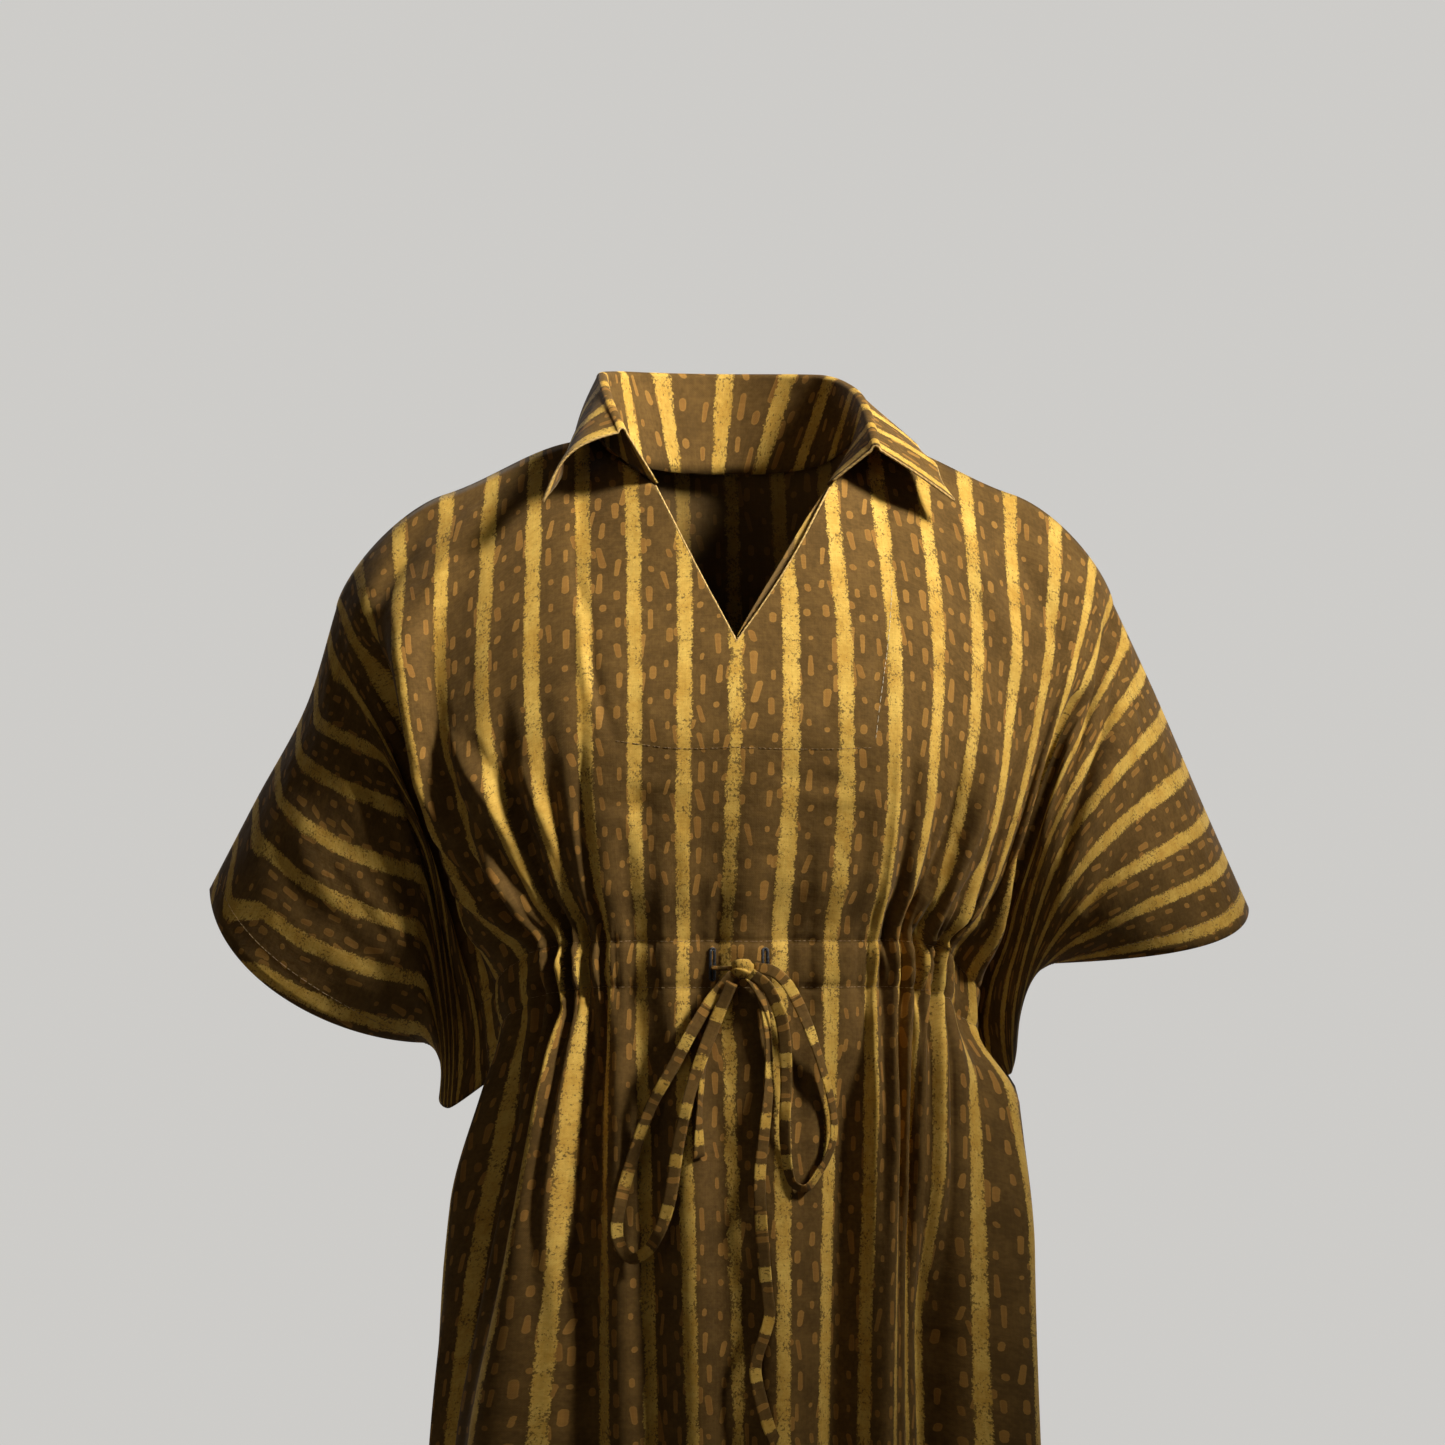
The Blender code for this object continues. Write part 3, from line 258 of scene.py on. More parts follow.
# How much the rows are strengthened, each crease's bow aside as a share of its length, and its ends' power
CREASE_GAIN, CREASE_BEND, CREASE_TAPER = 1.5, 0.06, 0.6
FRONT_CREASES = tuple(Crease(*row) for row in (
    # the deep shadow beside the fold that hangs from the left shoulder
    (-278, 90, -298, 365, 12, -12), (-250, 60, -258, 345, 7, 5.5), (-318, 150, -330, 360, 7, 2.4),
    (-338, 150, -350, 350, 7, -2.6), (-436, 60, -450, 250, 7, 1.8), (-470, 50, -484, 245, 9, -2),
    # fanning up from the left gathers
    (-128, 360, -150, 215, 5, 2.6), (-140, 362, -176, 190, 4.5, -2.6), (-150, 364, -200, 170, 5.5, 3.2),
    (-163, 364, -222, 175, 4.5, -2.8), (-172, 365, -246, 190, 5, 2.6), (-190, 366, -268, 215, 5, -2.6),
    (-200, 368, -286, 250, 5.5, 2.8),
    # fanning up from the right gathers
    (118, 360, 132, 240, 5, 2.2), (132, 362, 158, 205, 4.5, -2.4), (145, 364, 184, 190, 5.5, 2.8),
    (160, 364, 212, 205, 4.5, -2.4), (176, 366, 240, 225, 5.5, 2.6), (198, 367, 268, 255, 5, -2.2),
    # the short rolls that stand up where the cloth is drawn tightest
    (-141, 358, -136, 404, 4.2, 3.2), (-152, 366, -150, 424, 3.8, -4.2), (-164, 352, -157, 412, 4.2, 4.4),
    (-176, 362, -172, 430, 3.8, -4.6), (-190, 350, -181, 408, 4.2, 3.8), (150, 360, 146, 410, 4, 3),
    (162, 364, 160, 428, 3.8, -4.4), (175, 352, 170, 408, 4.2, 4.2), (188, 362, 186, 432, 3.8, -4.4),
    (203, 354, 196, 404, 4.2, 3.4),
    # beside the centre
    (-66, 368, -74, 270, 6, 1.6), (-44, 368, -40, 300, 5, -1.4), (-18, 368, -14, 318, 5, 1.2),
    (20, 368, 24, 306, 5, -1.3), (46, 368, 52, 290, 5.5, 1.4), (72, 368, 80, 276, 5.5, -1.4),
    # crumple where the facing ends
    (-105, 74, -94, 142, 3.2, -1), (-95, 134, -78, 232, 3.2, -1.8), (-100, 130, -84, 230, 3.2, 1.2),
    (-80, 230, 20, 239, 3, -0.7), (10, 239, 86, 234, 3, -0.7), (97, 130, 88, 232, 3.2, -0.9),
    (-78, 252, -22, 262, 4, 1.2), (-96, 268, -52, 276, 4, -1.2), (14, 250, 66, 258, 4.5, -1.1),
    (40, 272, 92, 262, 4, 1.1), (-60, 186, -48, 228, 3.5, 0.8), (52, 190, 60, 232, 3.5, -0.8),
    # drag lines on the shoulders and upper sleeves
    (-170, 20, -230, 130, 13, 3), (-205, 12, -262, 90, 10, -2.4), (160, 30, 218, 150, 13, 2.6),
    (196, 18, 250, 110, 10, -2.2), (-300, 60, -356, 270, 12, 2), (-330, 30, -402, 230, 11, -1.5),
    (-368, 60, -440, 240, 13, 1.5), (-408, 40, -470, 200, 10, -1.2), (-450, 70, -512, 220, 12, 1.2),
    (338, 10, 362, 180, 8, 5), (312, 14, 330, 175, 9, -7), (266, 120, 282, 385, 8, 5),
    (300, 140, 314, 398, 13, -14), (300, 60, 350, 250, 12, 5), (334, 40, 400, 220, 11, -6),
    (376, 70, 436, 240, 12, 4.6), (420, 50, 468, 200, 10, -4.4), (462, 80, 510, 210, 11, 3.2),
    # skirt, below the channel
    (-186, 405, -196, 560, 5, -2.6), (-172, 405, -178, 520, 4.5, 2.2), (-138, 404, -134, 640, 5, -2.2),
    (-112, 400, -106, 660, 6.5, -4.5), (-95, 402, -88, 560, 5, 2.6), (-124, 402, -126, 620, 5.5, 2.6),
    (-46, 404, -46, 560, 6, -1.8), (-8, 404, 0, 500, 5.5, 1.4), (30, 404, 46, 620, 6, -1.8),
    (62, 404, 58, 540, 5, 1.6), (98, 404, 92, 620, 6, -2.2), (136, 405, 142, 520, 4.5, -2.4),
    (152, 405, 158, 560, 5, 2.2), (184, 405, 180, 500, 4.5, -2.2), (-250, 520, -236, 900, 10, -3),
    (-120, 760, -128, 1200, 12, 3), (8, 620, -4, 1180, 11, -2.6), (150, 700, 140, 1200, 12, 3),
    (230, 700, 240, 1100, 10, -3),
))
BACK_CREASES = tuple(Crease(*row) for row in (
    (-60, 360, -96, 200, 7, 2.6), (-104, 362, -150, 190, 6, -2.6), (-150, 364, -204, 200, 6.5, 2.8),
    (-190, 366, -262, 230, 6, -2.6), (-10, 362, 6, 220, 7, -1.8), (34, 362, 40, 240, 6, 2),
    (76, 362, 104, 200, 7, -2.4), (120, 364, 160, 190, 6, 2.6), (168, 366, 226, 210, 6.5, -2.6),
    (206, 367, 270, 250, 6, 2.4), (-150, 20, -226, 120, 14, 2.6), (150, 24, 214, 130, 14, 2.6),
    (-320, 40, -400, 220, 12, -3.4), (-370, 60, -446, 230, 13, 3.2), (330, 40, 396, 220, 12, -3.2),
    (380, 70, 440, 230, 13, 3.2), (-150, 404, -146, 560, 6, -2.4), (-70, 404, -66, 520, 6, 2),
    (0, 404, 4, 560, 7, -2.2), (70, 404, 62, 540, 6, 2), (150, 404, 156, 580, 6, -2.4),
    (-190, 700, -182, 1180, 12, 3), (60, 640, 66, 1200, 12, -3),
))


class SleeveStripe(NamedTuple):
    """A stripe on the left sleeve's front: its number, and its heights in mm at SLEEVE_X from the cuff in."""

    number: int
    z_1: float
    z_2: float
    z_3: float
    z_4: float
    z_5: float


SLEEVE_X = (-308, -282, -255, -229, -203)

# Where that print takes over: past the side column, down the sleeve, short of the body, and for which stripes
SLANT_OUT, SLANT_DOWN, SLANT_X, SLANT_STRIPES = 0.05, 0.16, (-0.205, -0.18), (7, 16.6)
SLEEVE_STRIPES = tuple(SleeveStripe(*row) for row in (
    (8, -45, -62, -84, -115, -148), (9, -99, -106, -132, -158, -175), (10, -132, -147, -160, -182, -198),
    (11, -165, -182, -197, -207, -221), (12, -195, -213, -228, -238, -246),
    (13, -228, -254, -269, -279, -287), (14, -269, -290, -304, -314, -323),
    (15, -312, -330, -342, -350, -356), (16, -351, -367, -378, -386, -390),
))


class Station(NamedTuple):
    """A place along the collar: share of the neck seam, roll line, leaf's edge and the leaf's arch, in mm."""

    along: float
    roll: tuple
    edge: tuple
    arch: float


COLLAR = tuple(Station(*row) for row in (
    (0, (-69, -64, 7), (-120, -66, -42), 12),
    (0.12, (-79, -36, 30), (-106, -37, -13), 5),
    (0.25, (-84, 4, 48), (-99, 2, 6), 2),
    (0.38, (-61, 42, 51), (-86, 60, -6), 2),
    (0.5, (2, 62, 51), (2, 78, -15), 2),
    (0.62, (62, 40, 49), (90, 58, -6), 2),
    (0.75, (88, -2, 34), (119, 3, 2), 1),
    (0.88, (95, -34, 13), (135, -26, -12), 1),
    (1, (98, -54, -4), (149, -50, -40), 1),
))
COLLAR_UP, COLLAR_IN, TUCK_DOWN, TUCK_IN = 0.0018, 0.0018, 0.005, 0.0032
NECK_TUCK_FROM, NECK_TUCK_TO = 0.01, 0.04
ROLL_RADIUS = 0.003
COLLAR_BEFORE, COLLAR_AFTER = 0.0045, 0.009  # from a front edge to its first stripe's middle
PRINT_APART = 0.4  # how far from the panels' own print the tie was cut
FLIPPED = [0, 3, 2, 1]  # a face's corners the other way round, from the same first one

# The bow: each route's points as seen from the front, x and z in millimetres
KNOT = (10, -345)
KNOT_HALF, KNOT_STANDS_OFF = (0.0068, 0.0052, 0.006), 0.0075
REST_REACH = 0.01  # a point of the bow rests on what the cloth has within this distance
STUB = ((-10, -345), (-4, -345.5), (2.9, -345))
LOOP_LEFT = ((4, -349), (-8, -362), (-22, -384), (-36, -410), (-50, -436), (-63, -474), (-71, -508),
             (-68, -526), (-59, -532), (-49, -523), (-41, -507), (-36, -488), (-31, -455), (-22, -418),
             (-10, -385), (3, -354))
LOOP_RIGHT = ((17, -345), (32, -348), (43, -362), (53, -384), (61, -408), (67, -430), (69, -452), (63, -470),
              (53, -483), (47, -488), (41, -480), (38, -466), (37, -444), (38, -412), (35, -378), (24, -354),
              (15, -348))
TAIL_SHORT = ((6.5, -347.5), (-2, -368), (-12, -390), (-16, -415), (-18, -440), (-18, -466))
TAIL_LONG = ((14, -350.5), (22, -364), (26, -385), (27, -415), (25, -440), (21, -478), (22, -510), (25, -548),
             (27, -568), (20, -590), (18, -602), (21, -618), (26, -636), (31, -648))


def smooth(x: Sequence[float], y: Array, at: Array) -> Array:
    """A smooth curve through places x and values y: cubic pieces that never overshoot, level past the ends.

    Args:
        x: the places, rising.
        y: the values, along its last axis.
        at: where to read it, broadcast against y's other axes.

    Returns:
        The values there.
    """
    x, y = np.asarray(x, float), np.asarray(y, float)
    slope = np.diff(y, axis=-1) / np.diff(x)
    one, two = slope[..., :-1], slope[..., 1:]
    same = one * two > 0
    middle = np.where(same, 2 * one * two / np.where(same, one + two, 1), 0)
    slopes = np.concatenate([slope[..., :1], middle, slope[..., -1:]], axis=-1)
    at = np.clip(at, x[0], x[-1])
    shape = np.broadcast_shapes(at.shape, y.shape[:-1])
    i = np.clip(np.searchsorted(x, at, side="right") - 1, 0, len(x) - 2)
    h, t = (x[i + 1] - x[i]), (at - x[i]) / (x[i + 1] - x[i])
    i = np.broadcast_to(i, shape)[..., None]
    y, slopes = (np.broadcast_to(v, shape + v.shape[-1:]) for v in (y, slopes))
    y0, y1, m0, m1 = (np.take_along_axis(v, k, -1)[..., 0]
                      for v, k in ((y, i), (y, i + 1), (slopes, i), (slopes, i + 1)))
    return ((1 + 2 * t) * (1 - t) ** 2 * y0 + t * (1 - t) ** 2 * h * m0
            + t * t * (3 - 2 * t) * y1 + t * t * (t - 1) * h * m1)


def smooth_rows(rows: Sequence, at: Array) -> Array:
    """Smooth curves through the columns of a table, whose first one is the place along them."""
    rows = np.asarray(rows, float)
    return smooth(rows[:, 0], rows[:, 1:].T, np.asarray(at)[..., None])


def ramp(value: Array, start: float, end: float) -> Array:
    """0 before start and 1 after end, with t x t x (3 - 2t) between."""
    t = np.clip((value - start) / (end - start), 0, 1)
    return t * t * (3 - 2 * t)


def unit(vectors: Array) -> Array:
    """The vectors at length one."""
    return vectors / np.maximum(np.linalg.norm(vectors, axis=-1, keepdims=True), 1e-12)


def bell(x: Array) -> Array:
    """1 at zero, falling off to both sides: exp(-x^2)."""
    return np.exp(-x ** 2)


def turns(count: int) -> Array:
    """Even angles round a full turn."""
    return np.linspace(0, 2 * np.pi, count, endpoint=False)


def lengths(line: Array) -> Array:
    """How far along a line each of its points lies."""
    return np.concatenate([[0], np.cumsum(np.linalg.norm(np.diff(line, axis=0), axis=1))])


def whole_length(line: Array) -> float:
    """A line's length."""
    return float(np.linalg.norm(np.diff(line, axis=0), axis=1).sum())


def smooth_route(points: Array, count: int) -> Array:
    """Evenly spaced points on a curve through a route, where each span is a Catmull-Rom cubic.

    Args:
        points: the route.
        count: how many points to return.

    Returns:
        The points.
    """
    points = np.asarray(points, float)
    along = lengths(points)
    fine = np.linspace(0, along[-1], max(400, 4 * count))
    before = np.vstack([2 * points[0] - points[1], points, 2 * points[-1] - points[-2]])
    i = np.clip(np.searchsorted(along, fine, side="right") - 1, 0, len(points) - 2)
    t = ((fine - along[i]) / (along[i + 1] - along[i]))[:, None]
    p0, p1, p2, p3 = (before[i + k] for k in range(4))
    curve = 0.5 * (2 * p1 + (p2 - p0) * t + (2 * p0 - 5 * p1 + 4 * p2 - p3) * t ** 2
                   + (3 * p1 - p0 - 3 * p2 + p3) * t ** 3)
    length = lengths(curve)
    return np.column_stack([np.interp(np.linspace(0, length[-1], count), length, curve[:, k])
                            for k in range(curve.shape[1])])


def sections_at(b: Array) -> dict[str, Array]:
    """The front's section values at rows b, by name, in metres."""
    values = smooth_rows(SECTIONS, b) * MM
    return dict(zip(Section._fields[1:], np.moveaxis(values, -1, 0)))


def angle_across(a: Array, s: dict[str, Array], right: bool) -> Array:
    """The angle round a section at columns a: 0 at the centre line and a right angle at the side seam."""
    side = "r" if right else "l"
    reach = s[side + "_side"] - s["x_mid"]
    near, far = (np.arcsin((s[f"{side}_{k}"] - s["x_mid"]) / reach) for k in ("near", "far"))
    guides = np.stack([np.zeros_like(near), near, far, np.full_like(near, np.pi / 2)], -1)
    return smooth(GUIDES_A, guides, np.abs(a))


def trunk_half(a: Array, b: Array, back: bool, right: bool) -> Array:
    """One half of the trunk: x and y follow a superellipse, |x|^n + |y|^n = 1, at each row.

    Args:
        a, b: places on the flat cut.
        back: the back panel, or else the front.
        right: which half, as seen from the front.

    Returns:
        The points in space.
    """
    s = sections_at(b)
    shoulder = sections_at(np.zeros_like(b))
    theta = angle_across(a, s, right)
    guides = np.stack([s[k] for k in ("z_mid", "z_near", "z_far", "z_side")], -1)
    z = smooth(GUIDES_A, guides, np.abs(a))
    y_mid, y_side = s["y_mid"], s["y_side"]
    if back:
        even = np.pi / 2 * (np.abs(a) / SIDE_A) ** BACK_SPREAD
        own = ramp(b, 0.0, BACK_EVEN_B)
        theta = (1 - own) * angle_across(a, shoulder, right) + own * even
        values = smooth_rows(BACK_SECTIONS, b) * MM
        y_mid = values[..., 0]
        y_side = y_side + ARMHOLE_BACK * ramp(b, 0, NEAR_A) * (1 - ramp(b, BACK_FORWARD_B, ARM_B))
        z = z - values[..., 1] * np.cos(theta)
    reach = s["r_side" if right else "l_side"] - s["x_mid"]
    across = np.sin(theta)
    x = s["x_mid"] + reach * across
    bow = np.maximum(1 - across ** ROUNDNESS, 0) ** (1 / ROUNDNESS)
    y = y_side + (y_mid - y_side) * bow
    neck = np.maximum(1 - (a / NEAR_A) ** 2, 0) * (1 - ramp(b, 0.0, V_TIP_B))
    meet = ramp(np.abs(a), NECK_MEET_A, NECK_A) * (1 - ramp(b, 0, NECK_MEET_B))
    own_way = NECK_BACK_Y if back else NECK_FRONT_Y
    y = y + neck * (own_way + (NECK_SEAM_Y - own_way) * meet)
    return np.stack([x, y, z], -1)


def sleeve(a: Array, t: Array, back: bool, right: bool) -> Array:
    """A sleeve at columns a and shares t of the way down: a cubic Bezier curve from the top to the seam.

    Args:
        a: places across.
        t: shares of the way down.
        back: the back panel, or else the front.
        right: which sleeve, as seen from the front.

    Returns:
        The points in space.
    """
    rows = []
    for c in RIGHT_SLEEVE if right else LEFT_SLEEVE:
        top, seam = np.array(c.top), np.array(c.seam)
        out, into = (c.back_out, c.back_in) if back else (c.front_out, c.front_in)
        rows.append([c.a, *top, *(top + out), *(seam + into), *seam])
    p = smooth_rows(rows, np.abs(a)) * MM
    p0, p1, p2, p3 = (p[..., 3 * i:3 * i + 3] for i in range(4))
    t = t[..., None]
    return (1 - t) ** 3 * p0 + 3 * t * (1 - t) ** 2 * p1 + 3 * t * t * (1 - t) * p2 + t ** 3 * p3


def body_half(a: Array, b: Array, back: bool, right: bool) -> Array:
    """The trunk, moved over to the sleeve's first column towards the side above the underarm."""
    edge = np.full_like(b, SIDE_A)
    step = sleeve(edge, np.clip(b / ARM_B, 0, 1), back, right) - trunk_half(edge, b, back, right)
    share = ramp(np.abs(a), FAR_A, SIDE_A) * (1 - ramp(b, TRUNK_LEAVES_B, ARM_B))
    return trunk_half(a, b, back, right) + share[..., None] * step


def sleeve_part(a: Array, t: Array, back: bool, right: bool) -> Array:
    """The sleeve beyond the side column, which it meets without a step."""
    edge = np.full_like(a, SIDE_A)
    step = body_half(edge, t * ARM_B, back, right) - sleeve(edge, t, back, right)
    share = 1 - ramp(np.abs(a), SIDE_A, SIDE_A + SLEEVE_TAKES_UP)
    return sleeve(a, t, back, right) + step * share[..., None]


def neck_top(a: Array, back: bool) -> Array:
    """The row where each column starts: the V and the collar's seam in front, a shallow scoop behind."""
    if back:
        return BACK_NECK_B * np.sqrt(np.maximum(1 - (a / NECK_A) ** 2, 0))
    end = np.where(a < 0, -V_LEFT_A, V_RIGHT_A)
    far = np.abs(a)
    slit = V_TIP_B + (V_END_B - V_TIP_B) * far / end
    seam = V_END_B * np.clip((NECK_A - far) / (NECK_A - end), 0, 1) ** NECK_CURVE
    return np.where(far < end, slit, seam)


CALM_SIDE = 0.025  # width beside each side seam over which the gathers die out


def fold_height(a: Array, b: Array, gathers: Sequence[Gather], folds: Sequence[Fold]) -> Array:
    """How far the folds stand out: cosine waves at the waist and raised-cosine folds down the cloth.

    Args:
        a, b: places on the flat cut.
        gathers: the waist's gathers.
        folds: the large folds.

    Returns:
        The heights along the cloth's normal.
    """
    height = np.zeros(a.shape)
    for g in gathers:
        inside = (a >= g.a_from) & (a <= g.a_to)
        wave = np.cos(2 * np.pi * g.ridges * (a - g.a_from) / (g.a_to - g.a_from))
        reach = np.where(b < CHANNEL_B, g.up, g.down)
        height += np.where(inside, g.height * wave * bell((b - CHANNEL_B) / reach), 0)
    height *= ramp(SIDE_A - np.abs(a), 0, CALM_SIDE)
    for f in folds:
        across = np.clip(np.abs(a - f.a) / f.half_width, 0, 1)
        along = ramp(b, f.b_start, f.b_full) * (1 - ramp(b, f.b_fade, f.b_end))
        height += f.height * 0.5 * (1 + np.cos(np.pi * across)) * along
    return height


def crease_height(a: Array, b: Array, creases: Sequence[Crease]) -> Array:
    """How far the creases stand out: exp(-(d / width)^2) across and a sine's root along each one.

    Args:
        a, b: places on the flat cut.
        creases: the creases.

    Returns:
        The heights along the cloth's normal.
    """
    height = np.zeros(a.shape)
    for c in creases:
        start = np.array([c.a_from, c.b_from]) * MM
        way = np.array([c.a_to - c.a_from, c.b_to - c.b_from]) * MM
        length = np.hypot(*way)
        along = ((a - start[0]) * way[0] + (b - start[1]) * way[1]) / length ** 2
        bend = CREASE_BEND * length * np.sin(np.pi * np.clip(along, 0, 1))
        off = ((a - start[0]) * way[1] - (b - start[1]) * way[0]) / length + bend
        taper = np.sin(np.pi * np.clip(along, 0, 1)) ** CREASE_TAPER
        height += CREASE_GAIN * c.height * MM * bell(off / (c.width * MM)) * taper
    return height


@dataclass(frozen=True)
class FineGathers:
    """The fine gathers that fan out of the tight clusters beside the waist's middle, and faint ones between.

    The phase runs along a and turns with the distance from the channel, so the ridges spread. Slow waves
    make them uneven, a sway bends each near the channel, and each has its own reach.
    """

    pitch: float = 0.0125
    tall: float = 0.0034
    crest: float = 0.015  # how blunt the crests are
    waves: tuple = ((1.5, 0.047), (0.8, 0.029))  # swings of the phase, each with its length
    start: tuple = (0.4, 2.0)  # of the first wave, in front and behind
    sway: tuple = (1.5, 0.046, 0.01, 0.045)  # its swing, its length, its turn across and its reach
    fan: float = 9.0  # turn of the phase for each metre away from the channel
    above: float = 0.066
    below: float = 0.056
    longer: tuple = (0.55, 2.7, 1.9)  # how much longer a ridge may be, and by which shares of the phase
    taller: tuple = (0.35, 0.083)  # how much taller, and over what length
    inner: tuple = (0.085, 0.115)  # the columns over which a cluster sets in
    outer: tuple = (0.215, 0.245)  # and those over which it dies out
    faint_pitch: float = 0.0155
    faint: float = 0.001
    faint_reach: float = 0.03
    calm: float = 0.02  # width beside each side seam over which the faint ones die out

    def ridge(self, phase: Array) -> Array:
        """A wave with narrow crests and round valleys: 1 - 2 sqrt(sin(phase / 2)^2 + crest)."""
        return 1 - 2 * np.sqrt(np.sin(phase / 2) ** 2 + self.crest)

    def height(self, a: Array, b: Array, back: bool) -> Array:
        """How far the fine gathers stand out.

        Args:
            a, b: places on the flat cut.
            back: the back panel, or else the front.

        Returns:
            The heights along the cloth's normal.
        """
        up = CHANNEL_B - b
        start = self.start[int(back)]
        (slow, slow_long), (quick, quick_long) = self.waves
        wander = slow * np.sin(2 * np.pi * a / slow_long + start) + quick * np.sin(2 * np.pi * a / quick_long)
        swing, sway_long, turn, sway_reach = self.sway
        sway = swing * np.sin(2 * np.pi * up / sway_long + a / turn) * bell(up / sway_reach)
        phase = 2 * np.pi * a / self.pitch + wander + sway + self.fan * up * np.sign(a)
        more, one, two = self.longer
        longer = 1 + more * np.sin(phase / one + start) * np.sin(phase / two)
        reach = np.where(up > 0, self.above, self.below) * longer
        inside = ramp(np.abs(a), *self.inner) * (1 - ramp(np.abs(a), *self.outer))
        more, long = self.taller
        strong = self.tall * (1 - more + more * np.sin(2 * np.pi * a / long + 1.0))
        tight = strong * self.ridge(phase) * bell(up / reach) * inside
        soft = self.faint * self.ridge(2 * np.pi * a / self.faint_pitch + wander)
        soft = soft * bell(up / (self.faint_reach * longer)) * (1 - inside)
        return tight + soft * ramp(SIDE_A - np.abs(a), 0, self.calm)


@dataclass(frozen=True)
class Channel:
    """The waist channel: a puff between its stitch rows, a groove at each, and uneven puckers beside them.

    The puckers are cos(phase), whose phase grows with a and wanders by two slow sines.
    """

    puff: float = 0.0018
    groove: float = 0.0012
    groove_width: float = 0.0024
    pucker: float = 0.0009
    pitch: float = 0.0125
    waves: tuple = ((0.7, 0.061), (0.35, 0.027))  # swings of the phase in turns, each with its length
    reach: float = 0.014
    calm: float = 0.012  # width beside each side seam over which all this dies out

    def height(self, a: Array, b: Array) -> Array:
        """How far the channel stands out, along the cloth's normal at columns a and rows b."""
        first, second = CHANNEL_ROWS
        height = self.puff * np.sin(np.pi * np.clip((b - first) / (second - first), 0, 1))
        (slow, slow_long), (quick, quick_long) = self.waves
        phase = 2 * np.pi * (a / self.pitch + slow * np.sin(2 * np.pi * a / slow_long)
                             + quick * np.sin(2 * np.pi * a / quick_long + 1))
        for row in CHANNEL_ROWS:
            height = height - self.groove * bell((b - row) / self.groove_width)
            height = height + self.pucker * np.cos(phase) * np.exp(-np.abs(b - row) / self.reach)
        return height * ramp(SIDE_A - np.abs(a), 0, self.calm)


# The marks that columns and rows keep to, and the steps between two neighbours, fine and coarse
MARKS_A = (-SIDE_A, -GATHER_A, -NEAR_A, -NECK_A, V_LEFT_A, 0, V_RIGHT_A, NECK_A, NEAR_A, GATHER_A, SIDE_A)
MARKS_B = (0, FREE_B, FACING_B, 0.35, *CHANNEL_ROWS, ARM_B, 0.55, HEM_B)
FINE_A, FINE_SLEEVE_A, FINE_B = (24, 60, 4, 10, 13, 17, 6, 4, 60, 24), 36, (38, 7, 22, 9, 12, 7, 22, 46)
COARSE_A, COARSE_SLEEVE_A = (7, 18, 1, 2, 3, 4, 2, 1, 18, 7), 6


def steps(marks: Sequence[float], counts: Sequence[int]) -> Array:
    """Places along a line: all its marks, and between two neighbours as many even steps as counts says."""
    parts = [np.linspace(*span, count + 1)[:-1] for *span, count in zip(marks, marks[1:], counts)]
    return np.concatenate([*parts, [marks[-1]]])


